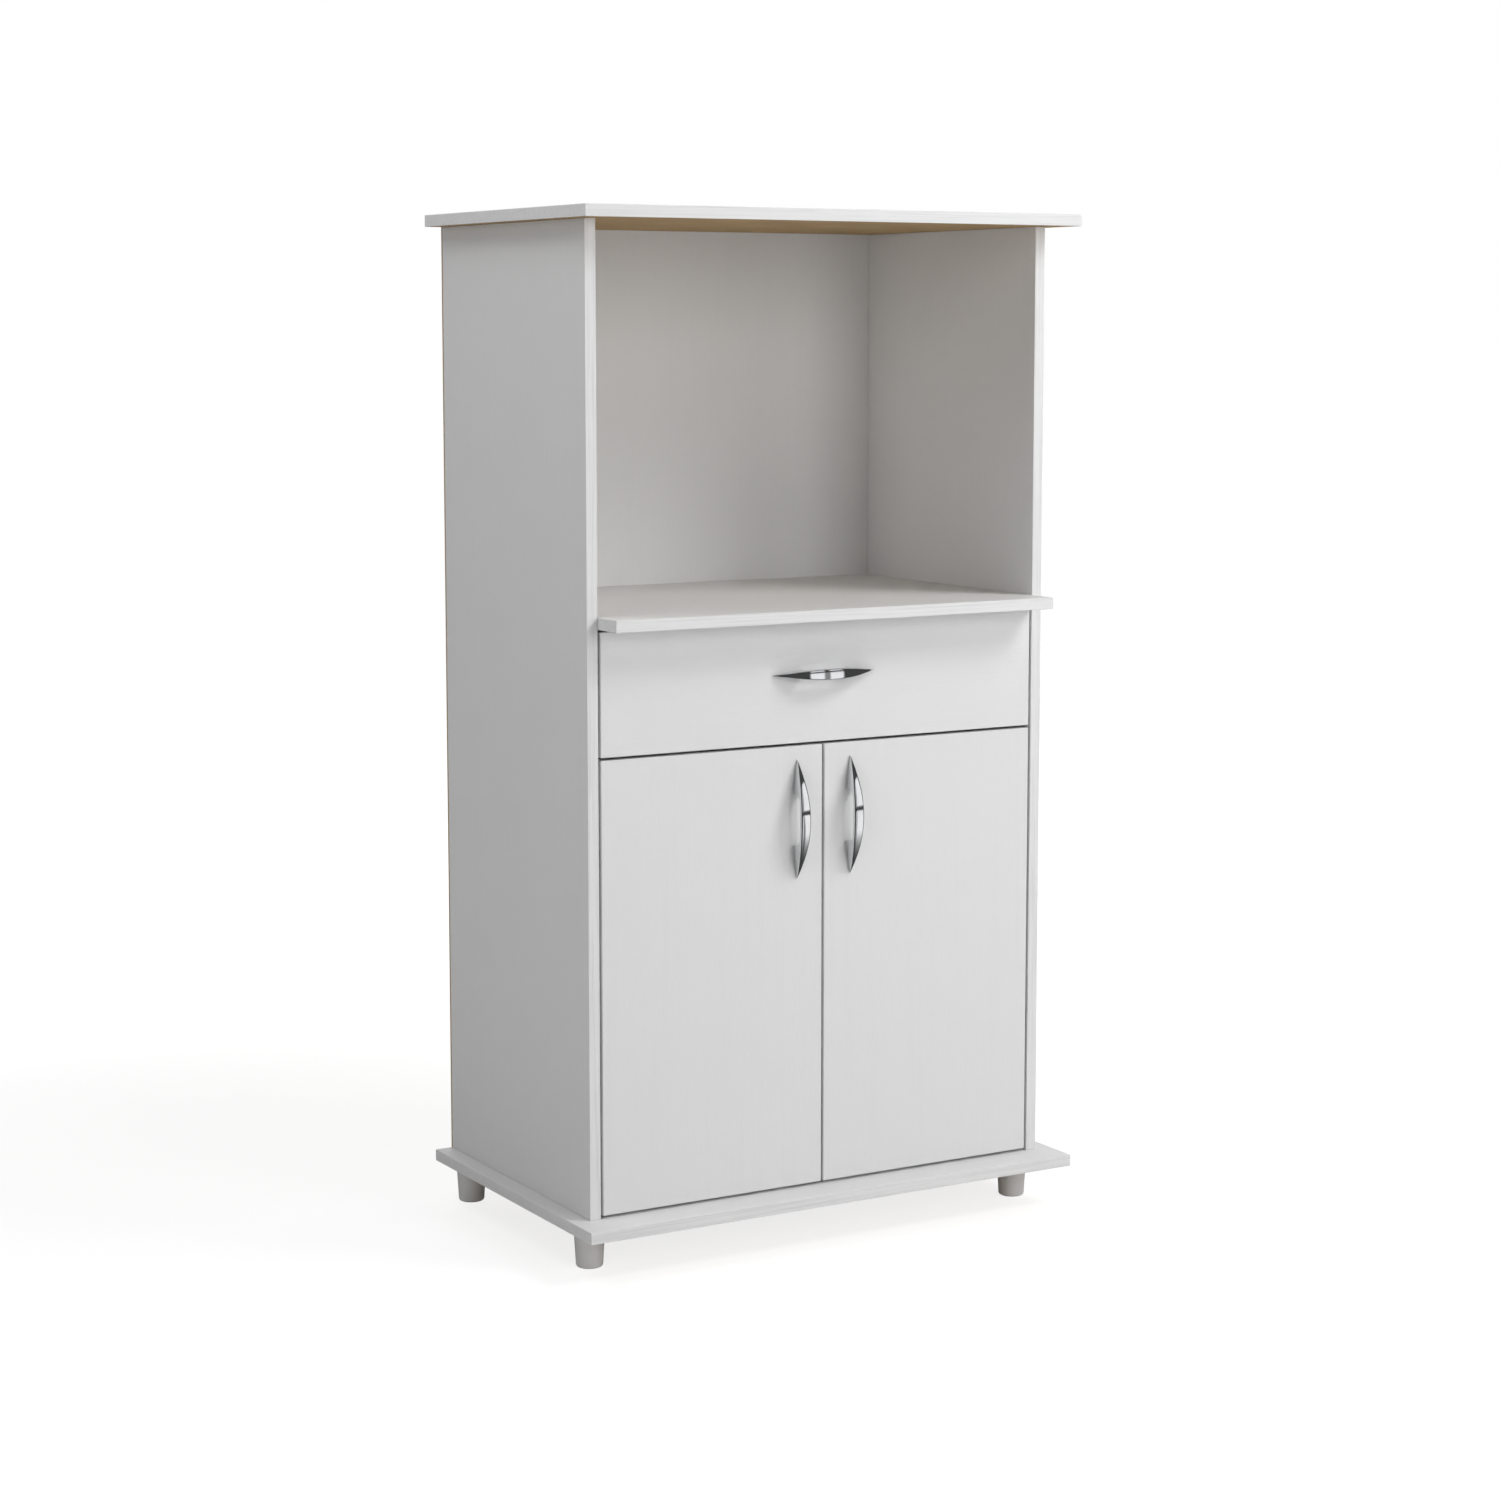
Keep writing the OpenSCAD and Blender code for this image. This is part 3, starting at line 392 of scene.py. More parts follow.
def board_finish(node, grain, chip_sides=(), fibre_sides=()):
    """White textured film on the faces, edge band on the narrow sides, and the raw core elsewhere."""
    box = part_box(node)
    size = box[1] - box[0]
    thin = AXES[min(range(3), key=lambda axis: size[axis])]
    edges = [sign + axis for axis in AXES if axis != thin for sign in "-+"]
    banded = [side for side in edges if side not in [*chip_sides, *fibre_sides]]

    def looks(finish):
        place = finish.place()
        places = finish.parts(place)
        facings = finish.parts(finish.facing())
        on_face = facings[AXES.index(thin)].math("ABSOLUTE").step(*FACE_FADE)

        along_grain = finish.scaled(place, stretch_along(grain, STREAK_WAVES))
        streak = finish.noise(along_grain, 1.0, detail=3.0, roughness=0.6)
        cloud = finish.noise(place, CLOUD_WAVES)
        pore = pores(finish, place, grain)
        greyed = streak.step(*STREAK_FADE) * FILM_STREAK + cloud * FILM_CLOUD + pore * FILM_PORE
        film = finish.mix(greyed, WHITE_FILM, GREY_STREAK)
        band_streak = finish.noise(finish.scaled(place, stretch_along(grain, BAND_WAVES)), 1.0)
        band = finish.mix(band_streak.step(*BAND_FADE) * BAND_DARK, EDGE_BAND, BAND_STREAK)
        colour = finish.mix(on_face, band, film)

        edge = finish.math("ABSOLUTE", NO_BAND)
        for side in banded:
            edge = edge.least(side_distance(places, box, side))
        glue = (1 - (edge - GLUE_IN).math("ABSOLUTE").step(0, GLUE_HALF)) * on_face
        colour = finish.mix(glue * GLUE_DARK, colour, GLUE_LINE)
        rubbed = finish.noise(place, RUBBED_WAVES, detail=4.0, roughness=0.7).step(*RUBBED_FADE)
        wear = (1 - edge.step(*RUBBED_TO)) * rubbed * on_face
        colour = finish.mix(wear * RUBBED_DARK, colour, RUBBED_EDGE)
        smudge = finish.noise(place, SMUDGE_WAVES, detail=3.0, roughness=0.6)
        rough = FILM_ROUGH + smudge * SMUDGE_ROUGH + pore * PORE_ROUGH - wear * RUBBED_SMOOTH
        height = 1 - pore * on_face * PORE_SHARE

        raw = 0
        for sides, core in ((chip_sides, chipboard), (fibre_sides, fibreboard)):
            if not sides:
                continue
            core_colour, core_height = core(finish, place)
            here = faces_side(facings, sides[0])
            for side in sides[1:]:
                here = here.most(faces_side(facings, side))
            colour = finish.mix(here, colour, core_colour)
            height = height * (1 - here) + core_height * here * RAW_SHARE
            raw = here + raw
        rough = rough + raw * RAW_ROUGH
        return colour, rough, finish.bump(height, PORE_DEPTH)

    return surface(node + " board", looks, **{"Specular IOR Level": BOARD_SPECULAR})


def metal_finish(name, colour, darker, rough, brushed, cloud_waves=METAL_CLOUD_WAVES,
                 depth=METAL_DEPTH):
    """A metal with soft clouds in its plating, fine scratches and a little grime."""

    def looks(finish):
        place = finish.place()
        cloud = finish.noise(place, cloud_waves, detail=4.0, roughness=0.6)
        scratch = finish.noise(finish.scaled(place, SCRATCH_WAVES), 1.0, detail=3.0, roughness=0.6)
        shade = finish.mix(cloud.step(*METAL_CLOUD_FADE), colour, darker)
        uneven = rough * METAL_EVEN_SHARE + cloud * rough * METAL_CLOUD_SHARE
        uneven = uneven + scratch.step(*SCRATCH_FADE) * brushed
        height = scratch * SCRATCH_SHARE + cloud * (1 - SCRATCH_SHARE)
        return shade, uneven, finish.bump(height, depth, METAL_BUMP)

    return surface(name, looks, Metallic=1.0)


def plastic_finish(name, colour, darker, rough, grain_waves):
    """Moulded plastic with a fine spark texture and faint flow marks."""

    def looks(finish):
        place = finish.place()
        grain = finish.noise(place, grain_waves)
        flow = finish.noise(finish.scaled(place, FLOW_WAVES), 1.0, detail=3.0)
        scuff = finish.noise(place, SCUFF_WAVES, detail=5.0, roughness=0.75).step(*SCUFF_FADE)
        shade = finish.mix(flow * FLOW_DARK + scuff * SCUFF_DARK, colour, darker)
        uneven = rough + flow * FLOW_ROUGH + scuff * SCUFF_ROUGH
        return shade, uneven, finish.bump(grain, PLASTIC_DEPTH)

    return surface(name, looks, **{"Specular IOR Level": PLASTIC_SPECULAR})


def coated_finish(name, colour, darker):
    """Powder coat on folded steel, with its fine orange peel."""

    def looks(finish):
        place = finish.place()
        peel = finish.noise(place, PEEL_WAVES)
        rub = finish.noise(finish.scaled(place, COAT_RUB_WAVES), 1.0, detail=4.0).step(*COAT_RUB_FADE)
        shade = finish.mix(rub * COAT_RUB_DARK, colour, darker)
        return shade, COAT_ROUGH + rub * COAT_RUB_ROUGH, finish.bump(peel, PEEL_DEPTH)

    return surface(name, looks)


def wood_finish(name, colour, darker):
    """Turned beech with short dark flecks."""

    def looks(finish):
        place = finish.place()
        fleck = finish.noise(finish.scaled(place, FLECK_WAVES), 1.0, detail=4.0, roughness=0.7)
        shade = finish.mix(fleck.step(*FLECK_FADE), colour, darker)
        return shade, WOOD_ROUGH + fleck * FLECK_ROUGH, finish.bump(fleck, FLECK_DEPTH)

    return surface(name, looks)


CHROME = metal_finish("bright chrome", (0.80, 0.81, 0.82, 1), (0.74, 0.75, 0.77, 1),
                      rough=0.06, brushed=0.03, cloud_waves=CHROME_CLOUD_WAVES, depth=CHROME_DEPTH)
ZINC = metal_finish("zinc plate", (0.66, 0.67, 0.70, 1), (0.52, 0.53, 0.56, 1),
                    rough=0.28, brushed=0.12)
NICKEL = metal_finish("nickel plate", (0.72, 0.71, 0.68, 1), (0.60, 0.59, 0.57, 1),
                      rough=0.2, brushed=0.1)
CAM_ZINC = metal_finish("cast zinc", (0.50, 0.51, 0.53, 1), (0.40, 0.41, 0.43, 1),
                        rough=0.36, brushed=0.1, cloud_waves=CAST_CLOUD_WAVES)
BRASS = metal_finish("brass", (0.78, 0.60, 0.28, 1), (0.62, 0.45, 0.20, 1),
                     rough=0.25, brushed=0.1)
FOOT_PLASTIC = plastic_finish("foot plastic", (0.82, 0.82, 0.825, 1), (0.73, 0.73, 0.735, 1),
                              rough=0.42, grain_waves=PLASTIC_WAVES)
NYLON = plastic_finish("roller nylon", (0.80, 0.80, 0.78, 1), (0.70, 0.70, 0.67, 1),
                       rough=0.35, grain_waves=NYLON_WAVES)
RUNNER_COAT = coated_finish("white runner coat", (0.76, 0.76, 0.765, 1), (0.62, 0.62, 0.63, 1))
BEECH = wood_finish("beech", (0.62, 0.43, 0.24, 1), (0.45, 0.28, 0.14, 1))


def add_piece(name, node, mesh, material):
    """A new piece that stands for a CAD node: it goes on that node's body with the given material, and
    the node is hidden.
    """
    cad = frame["nodes"][node]
    mesh.materials.clear()
    mesh.materials.append(material)
    piece = bpy.data.objects.new(name, mesh)
    bpy.context.scene.collection.objects.link(piece)
    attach(piece, cad["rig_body"])
    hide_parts(node)
    return piece


# How near counts as the same place, and how many degrees still make one face or make a corner
WELD = 0.0005 * MM
NEAR = 0.01 * MM
FLAT = 0.4
CORNER = 50


def welded_copy(node):
    """The CAD node's mesh as one joined surface, without the lines across its flat faces."""
    bm = bmesh.new()
    bm.from_mesh(frame["nodes"][node].data)
    bmesh.ops.remove_doubles(bm, verts=bm.verts, dist=WELD)
    bmesh.ops.dissolve_limit(bm, angle_limit=math.radians(FLAT), verts=bm.verts, edges=bm.edges)
    return bm


# How a rounded edge is cut: its steps, and a half for a quarter circle
BOARD_STEPS = 3
HARDWARE_STEPS = 2
ROUND = 0.5

# Faces of a curved piece that meet within so many degrees are shaded as one surface
SMOOTH = 35
TURNED_SMOOTH = 30
HANDLE_SMOOTH = 34


def mesh_from(bm, name, smooth_angle=None):
    """The finished mesh. Faces that meet within smooth_angle degrees are shaded as one surface."""
    mesh = bpy.data.meshes.new(name)
    bm.to_mesh(mesh)
    bm.free()
    if smooth_angle is not None:
        mesh.shade_smooth()
        mesh.set_sharp_from_angle(angle=math.radians(smooth_angle))
    return mesh


def on_box_edge(edge, box):
    """Whether an edge lies along one of the twelve outer edges of a board."""
    sides_it_lies_in = 0
    for axis in range(3):
        for limit in (box[0][axis], box[1][axis]):
            sides_it_lies_in += all(abs(v.co[axis] - limit) < NEAR for v in edge.verts)
    return sides_it_lies_in == 2


def dress_board(node, material, round_over):
    """A board with its outer edges rounded over, and its holes as they are."""
    bm = welded_copy(node)
    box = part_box(node)
    edges = [edge for edge in bm.edges if on_box_edge(edge, box)]
    bmesh.ops.bevel(bm, geom=edges, offset=round_over, segments=BOARD_STEPS, profile=ROUND,
                    affect="EDGES", clamp_overlap=True)
    return add_piece(node + "_finished", node, mesh_from(bm, node), material)


def dress_hardware(node, material, round_over):
    """A metal or wooden piece with its sharp corners broken."""
    bm = welded_copy(node)
    edges = [edge for edge in bm.edges
             if len(edge.link_faces) == 2 and edge.calc_face_angle(0) > math.radians(CORNER)]
    bmesh.ops.bevel(bm, geom=edges, offset=round_over, segments=HARDWARE_STEPS, profile=ROUND,
                    affect="EDGES", clamp_overlap=True)
    piece = add_piece(node + "_finished", node, mesh_from(bm, node, SMOOTH), material)
    even = piece.modifiers.new("even", "WEIGHTED_NORMAL")
    even.keep_sharp = True
    return piece


def arc_points(centre, radius, start, end, steps):
    """Points (radius, height) on an arc of a turned outline. Angles are in degrees."""
    angles = [math.radians(start + (end - start) * i / steps) for i in range(steps + 1)]
    return [(centre[0] + radius * math.cos(a), centre[1] + radius * math.sin(a)) for a in angles]


def dome_points(radius, height, steps):
    """Points (radius, height) of a low dome, from its rim to just before its middle."""
    turns = [math.pi / 2 * i / steps for i in range(steps)]
    return [(radius * math.cos(t), height * math.sin(t)) for t in turns]


def turned(outline, sides):
    """A turned solid about Z. Its outline of (radius, height) points starts and ends on the axis."""
    bm = bmesh.new()
    turns = [2 * math.pi * i / sides for i in range(sides)]
    rings = []
    for radius, height in outline:
        if radius == 0:
            rings.append([bm.verts.new((0, 0, height))])
        else:
            corners = [(radius * math.cos(t), radius * math.sin(t), height) for t in turns]
            rings.append([bm.verts.new(corner) for corner in corners])
    for low, high in zip(rings, rings[1:]):
        for i in range(sides):
            j = (i + 1) % sides
            corners = [low[i % len(low)], low[j % len(low)], high[j % len(high)], high[i % len(high)]]
            unique = list(dict.fromkeys(corners))
            if len(unique) > 2:
                bm.faces.new(unique)
    bmesh.ops.recalc_face_normals(bm, faces=bm.faces)
    return bm


def less(whole, cutter):
    """What is left of one mesh where another is cut away. Both are used up."""
    objects = []
    for mesh in (whole, cutter):
        obj = bpy.data.objects.new(mesh.name, mesh)
        bpy.context.scene.collection.objects.link(obj)
        objects.append(obj)
    cut = objects[0].modifiers.new("cut", "BOOLEAN")
    cut.operation = "DIFFERENCE"
    cut.solver = "EXACT"
    cut.object = objects[1]
    bpy.context.view_layer.update()
    graph = bpy.context.evaluated_depsgraph_get()
    result = bpy.data.meshes.new_from_object(objects[0].evaluated_get(graph))
    for obj in objects:
        old = obj.data
        bpy.data.objects.remove(obj)
        bpy.data.meshes.remove(old)
    return result


def placed_copies(template, places, name):
    """One mesh with a copy of the template at each place. The template is used up."""
    bm = bmesh.new()
    for place in places:
        start = len(bm.verts)
        bm.from_mesh(template)
        bm.verts.ensure_lookup_table()
        bmesh.ops.transform(bm, matrix=place, verts=bm.verts[start:])
    bpy.data.meshes.remove(template)
    return mesh_from(bm, name, SMOOTH)


def join_rings(bm, first, second):
    """The faces between two closed rings of as many points."""
    for i in range(len(first)):
        j = (i + 1) % len(first)
        bm.faces.new([first[i], first[j], second[j], second[i]])


def solids(node):
    """The corner points of each separate solid of a CAD node."""
    bm = welded_copy(node)
    left = set(bm.verts)
    groups = []
    for first in bm.verts:
        if first not in left:
            continue
        left.remove(first)
        stack = [first]
        points = []
        while stack:
            vert = stack.pop()
            points.append(vert.co.copy())
            for edge in vert.link_edges:
                other = edge.other_vert(vert)
                if other in left:
                    left.remove(other)
                    stack.append(other)
        groups.append(points)
    bm.free()
    return groups


def fastener_facts(points):
    """The head's centre, the way out of the head, the head's and shank's radii, and the length.
    A fastener is round, so it is alike on the two axes across its length."""
    low = Vector([min(p[i] for p in points) for i in range(3)])
    high = Vector([max(p[i] for p in points) for i in range(3)])
    size = high - low
    axis = min(range(3), key=lambda i: abs(size[i - 1] - size[i - 2]))
    middle = (low + high) / 2
    along = Vector([i == axis for i in range(3)])

    def radius_at(end):
        arms = [p - middle for p in points if abs(p[axis] - end) < NEAR]
        return max((arm - arm.project(along)).length for arm in arms)

    at_low, at_high = radius_at(low[axis]), radius_at(high[axis])
    out = Vector([(1.0 if at_high > at_low else -1.0) if i == axis else 0.0 for i in range(3)])
    centre = middle.copy()
    centre[axis] = high[axis] if at_high > at_low else low[axis]
    return centre, out, max(at_low, at_high), min(at_low, at_high), size[axis]


# Screws and nails. Shares are of the head's radius, but for the tip's, which are of the shank's, and
# the cross's widths above and below, which are of its own.
TIP_SHARE = 0.3
TIP_LENGTH_SHARE = 2
SINK_NECK = 1.0 * MM
SINK_RIM = [(0.15 * MM, 0.35 * MM), (0.1 * MM, 0.1 * MM), (0.3 * MM, 0)]
DOME_SHARE = 0.42
DOME_EDGE = 0.1 * MM
DOME_STEPS = 10
CROSS_SHARE = 1.15
BLADE_SHARE = 0.24
RECESS_SHARE = 0.45
CROSS_ABOVE = 0.4 * MM
CROSS_WIDTH_SHARES = (1.08, 0.55)
SCREW_TURN = 0.7
SCREW_SIDES = 40
NAIL_NECK = 0.7 * MM
NAIL_RIM = 0.5 * MM
NAIL_DOME = 0.3 * MM
NAIL_STEPS = 6
NAIL_SIDES = 28


def cross_cutter(width, blade, depth):
    """A cross with sloping sides that cuts a driver recess downwards from zero."""
    bm = bmesh.new()
    rings = []
    for height, share in zip((CROSS_ABOVE, -depth), CROSS_WIDTH_SHARES):
        ring = []
        for quarter in range(4):
            turn = Matrix.Rotation(quarter * math.pi / 2, 3, "Z")
            for side in (-1, 1):
                ring.append(bm.verts.new(turn @ Vector((width / 2 * share, side * blade / 2, height))))
            ring.append(bm.verts.new(turn @ Vector((blade / 2, blade / 2, height))))
        rings.append(ring)
    top, low = rings
    bm.faces.new(top)
    bm.faces.new(low[::-1])
    for i in range(len(top)):
        j = (i + 1) % len(top)
        bm.faces.new([top[i], low[i], low[j], top[j]])
    bmesh.ops.recalc_face_normals(bm, faces=bm.faces)
    return mesh_from(bm, "cross")


def shank_points(shank_r, length, neck):
    """Points (radius, height) from a screw's tip, at most half its shank, to the neck under its head."""
    tip = min(shank_r * TIP_LENGTH_SHARE, (length - neck) / 2)
    return [(0, -length), (shank_r * TIP_SHARE, -length), (shank_r, -length + tip), (shank_r, -neck)]


def screw_template(head_r, shank_r, length, flat_head):
    """A screw whose head is uppermost: flat and countersunk, or low and domed."""
    if flat_head:
        outline = shank_points(shank_r, length, head_r - shank_r + SINK_NECK)
        outline += [(head_r - inwards, -down) for inwards, down in SINK_RIM]
    else:
        top = head_r * DOME_SHARE
        outline = shank_points(shank_r, length, top) + [(head_r - DOME_EDGE, -top)]
        outline += [(radius, height - top) for radius, height in dome_points(head_r, top, DOME_STEPS)]
    head = mesh_from(turned(outline + [(0, 0)], SCREW_SIDES), "screw")
    return less(head, cross_cutter(head_r * CROSS_SHARE, head_r * BLADE_SHARE, head_r * RECESS_SHARE))


def fastener_places(facts, turn):
    """Where each fastener goes, each turned a little further than the last."""
    places = []
    for number, (centre, out, *_) in enumerate(facts):
        aim = out.to_track_quat("Z", "Y").to_matrix().to_4x4()
        places.append(Matrix.Translation(centre) @ aim @ Matrix.Rotation(turn * number, 4, "Z"))
    return places


def dress_screws(node, material, flat_head=False):
    """Screws with cross recesses where a CAD node holds plain ones."""
    facts = [fastener_facts(points) for points in solids(node)]
    template = screw_template(*facts[0][2:], flat_head)
    mesh = placed_copies(template, fastener_places(facts, SCREW_TURN), node)
    return add_piece(node + "_finished", node, mesh, material)


def dress_nails(node, material):
    """Panel pins with low domed heads."""
    facts = [fastener_facts(points) for points in solids(node)]
    head_r, shank_r, length = facts[0][2:]
    tip = shank_r * TIP_LENGTH_SHARE
    outline = [(0, -length), (shank_r, -length + tip), (shank_r, -NAIL_NECK), (head_r, -NAIL_RIM)]
    outline += dome_points(head_r, NAIL_DOME, NAIL_STEPS) + [(0, NAIL_DOME)]
    template = mesh_from(turned(outline, NAIL_SIDES), "nail")
    mesh = placed_copies(template, fastener_places(facts, 0), node)
    return add_piece(node + "_finished", node, mesh, material)


# A foot: its taper, rounded lower edge, hollow base and the collar at its top
FOOT_TAPER = 2.5 * MM
FOOT_EDGE_R = 3 * MM
FOOT_EDGE_TURN = (-90, -3)
FOOT_EDGE_STEPS = 10
FOOT_HOLLOW_R = 8.5 * MM
FOOT_HOLLOW = 0.8 * MM
FOOT_COLLAR = 0.9 * MM
FOOT_COLLAR_SLOPE = 0.3 * MM
FOOT_COLLAR_OUT = 0.15 * MM
FOOT_SIDES = 96


def dress_foot(node):
    """A tapered foot with a rounded lower edge and a shallow hollow in its base."""
    low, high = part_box(node)
    centre = (low + high) / 2
    top_r = (high.x - low.x) / 2
    height = high.z - low.z
    edge_at = (top_r - FOOT_TAPER - FOOT_EDGE_R, FOOT_EDGE_R)
    outline = [(0, FOOT_HOLLOW), (FOOT_HOLLOW_R, FOOT_HOLLOW), (FOOT_HOLLOW_R + FOOT_HOLLOW, 0)]
    outline += arc_points(edge_at, FOOT_EDGE_R, *FOOT_EDGE_TURN, FOOT_EDGE_STEPS)
    outline.append((top_r - FOOT_COLLAR_OUT, height - FOOT_COLLAR - FOOT_COLLAR_SLOPE))
    outline += [(top_r, height - FOOT_COLLAR), (top_r, height), (0, height)]
    bm = turned(outline, FOOT_SIDES)
    bmesh.ops.transform(bm, matrix=Matrix.Translation((centre.x, centre.y, low.z)), verts=bm.verts)
    return add_piece(node + "_finished", node, mesh_from(bm, node, TURNED_SMOOTH), FOOT_PLASTIC)


# A roller: its bore, the recess in each side and its rounded rims
ROLLER_BORE_R = 2.05 * MM
ROLLER_HUB_WALL = 1.6 * MM
ROLLER_TYRE_WALL = 1.3 * MM
ROLLER_SLOPE = 0.3 * MM
ROLLER_RECESS = 0.7 * MM
ROLLER_RIM_R = 0.8 * MM
ROLLER_RIM_STEPS = 5
ROLLER_SIDES = 56


def dress_roller(node):
    """A runner's roller with rounded rims and a recess in each side."""
    low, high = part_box(node)
    centre = (low + high) / 2
    outer_r = (high.z - low.z) / 2
    half = (high.x - low.x) / 2
    hub_r = ROLLER_BORE_R + ROLLER_HUB_WALL
    tyre_r = outer_r - ROLLER_TYRE_WALL
    side = [(ROLLER_BORE_R, half), (hub_r, half), (hub_r + ROLLER_SLOPE, half - ROLLER_RECESS),
            (tyre_r - ROLLER_SLOPE, half - ROLLER_RECESS), (tyre_r, half)]
    rim_at = (outer_r - ROLLER_RIM_R, half - ROLLER_RIM_R)
    side += arc_points(rim_at, ROLLER_RIM_R, 90, 0, ROLLER_RIM_STEPS)
    bm = bmesh.new()
    turns = [2 * math.pi * i / ROLLER_SIDES for i in range(ROLLER_SIDES)]
    rings = []
    for radius, across in side + [(radius, -across) for radius, across in reversed(side)]:
        rings.append([bm.verts.new((across, radius * math.cos(t), radius * math.sin(t))) for t in turns])
    for first, second in zip(rings, rings[1:] + rings[:1]):
        join_rings(bm, first, second)
    bmesh.ops.recalc_face_normals(bm, faces=bm.faces)
    bmesh.ops.transform(bm, matrix=Matrix.Translation(centre), verts=bm.verts)
    return add_piece(node + "_finished", node, mesh_from(bm, node, TURNED_SMOOTH), NYLON)


# The cast handle: its arch, its solid feet and how its section is rounded
STRAP_T = 4 * MM
TIP_T = 1.4 * MM
ARCH_HALF = 27.5 * MM
ARCH_CORNER_R = 9 * MM
HANDLE_EDGE_R = 1.7 * MM
HANDLE_CROWN = 0.1 * MM
TIP_HALF_W = 0.02 * MM
EDGE_WIDTH_SHARE = 0.6
EDGE_HEIGHT_SHARE = 0.45
BACK_EDGE_SHARE = 0.3
HANDLE_STATIONS = 140
STATION_GAP = 0.5 * MM
FRONT_POINTS = 9
EDGE_POINTS = 5
CORNER_POINTS = 14
WALL_STEP = 0.002 * MM


def arc_height(half, sag, apex, along):
    """The height of a shallow arc that peaks at apex and has dropped by sag at half its length."""
    radius = (half ** 2 + sag ** 2) / (2 * sag)
    return apex - radius + math.sqrt(radius ** 2 - along ** 2)


def arch_height(half, apex, along):
    """The height of the arch for the fingers: a shallow arc, round corners and straight feet."""
    radius = (half ** 2 + apex ** 2) / (2 * apex)
    corner_x = ARCH_HALF - ARCH_CORNER_R
    corner_up = apex - radius + math.sqrt((radius - ARCH_CORNER_R) ** 2 - corner_x ** 2)
    along = abs(along)
    if along > ARCH_HALF + WALL_STEP / 2:
        return 0.0
    if along <= radius * corner_x / (radius - ARCH_CORNER_R):
        return arc_height(half, apex, apex, along)
    return corner_up + math.sqrt(max(0, ARCH_CORNER_R ** 2 - (along - corner_x) ** 2))


def handle_section(along, half, width, out):
    """The closed section of the handle: a slightly crowned front, round edges and a flat back."""
    high = arc_height(half, out - TIP_T, out, along)
    low = arch_height(half, out - STRAP_T, along)
    half_w = max(arc_height(half, width / 2, width / 2, along), TIP_HALF_W)
    edge = min(HANDLE_EDGE_R, half_w * EDGE_WIDTH_SHARE, (high - low) * EDGE_HEIGHT_SHARE)
    flat = half_w - edge
    crown = HANDLE_CROWN * half_w / (width / 2)
    shoulder = high - crown
    points = [(flat * side, high - crown * side ** 2)
              for side in (2 * i / (FRONT_POINTS - 1) - 1 for i in range(FRONT_POINTS))]
    turns = [math.pi / 2 * i / EDGE_POINTS for i in range(1, EDGE_POINTS + 1)]
    points += [(flat + edge * math.sin(t), shoulder - edge + edge * math.cos(t)) for t in turns]
    back = min(edge * BACK_EDGE_SHARE, HANDLE_CROWN)
    points += [(half_w, low + back), (half_w - back, low), (0, low)]
    points += [(back - half_w, low), (-half_w, low + back)]
    points += [(-flat - edge * math.sin(t), shoulder - edge + edge * math.cos(t))
               for t in reversed(turns)]
    return points


def handle_stations(half):
    """Places along the handle, close together at its tips and where the arch is steep."""
    places = [half * math.sin(math.pi * (i / HANDLE_STATIONS - 0.5))
              for i in range(HANDLE_STATIONS + 1)]
    turns = [math.pi / 2 * i / CORNER_POINTS for i in range(CORNER_POINTS + 1)]
    corner = [ARCH_HALF - ARCH_CORNER_R + ARCH_CORNER_R * math.sin(t) for t in turns]
    corner.append(ARCH_HALF + WALL_STEP)
    clear = [x for x in places if not corner[0] - STATION_GAP < abs(x) < corner[-1] + STATION_GAP]
    return sorted(clear + corner + [-x for x in corner])


def handle_mesh(length, width, out):
    """A handle that lies along X with its front to +Z, on the plane at zero."""
    bm = bmesh.new()
    half = length / 2
    rings = []
    for along in handle_stations(half):
        section = handle_section(along, half, width, out)
        rings.append([bm.verts.new((along, across, height)) for across, height in section])
    for first, second in zip(rings, rings[1:]):
        join_rings(bm, first, second)
    bm.faces.new(rings[0])
    bm.faces.new(rings[-1][::-1])
    bmesh.ops.recalc_face_normals(bm, faces=bm.faces)
    return mesh_from(bm, "handle", HANDLE_SMOOTH)


def dress_handle(node):
    """A chromed bow handle, lying or upright as its CAD node is."""
    low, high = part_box(node)
    size = high - low
    upright = size.z > size.x
    length, width = (size.z, size.x) if upright else (size.x, size.z)
    mesh = handle_mesh(length, width, size.y)
    along = Vector((0, 0, 1)) if upright else Vector((1, 0, 0))
    out = Vector((0, -1, 0))
    turn = Matrix((along, out.cross(along), out)).transposed().to_4x4()
    seat = Vector(((low.x + high.x) / 2, high.y, (low.z + high.z) / 2))
    mesh.transform(Matrix.Translation(seat) @ turn)
    return add_piece(node + "_finished", node, mesh, CHROME)


# Each board: its grain, the sides where the chips of the core show, and the sides of bare fibre
BOARDS = {
    "top_board": ("X", ["+Y"], ["-Z"]),
    "base_board": ("X", ["+Y"], ["-Z"]),
    "left_side_panel": ("Z", ["+Y", "+Z", "-Z"], []),
    "right_side_panel": ("Z", ["+Y", "+Z", "-Z"], []),
    "niche_shelf": ("X", ["+Y"], []),
    "inner_shelf": ("X", ["+Y", "-X", "+X"], []),
    "drawer_front": ("X", [], []),
    "left_drawer_side": ("Y", ["-Z"], []),
    "right_drawer_side": ("Y", ["-Z"], []),
    "drawer_back": ("X", ["-Z"], []),
    "left_door": ("Z", [], []),
    "right_door": ("Z", [], []),
}
SHEETS = {
    "back_panel": ("Z", [], ["+Y", "+X", "-X", "+Z", "-Z"]),
    "drawer_bottom": ("X", [], ["-Z", "+X", "-X", "+Y", "-Y"]),
}
BOARD_ROUND = 0.6 * MM
SHEET_ROUND = 0.2 * MM
for boards, round_over in ((BOARDS, BOARD_ROUND), (SHEETS, SHEET_ROUND)):
    for node, (grain, chip_sides, fibre_sides) in boards.items():
        dress_board(node, board_finish(node, grain, chip_sides, fibre_sides), round_over)

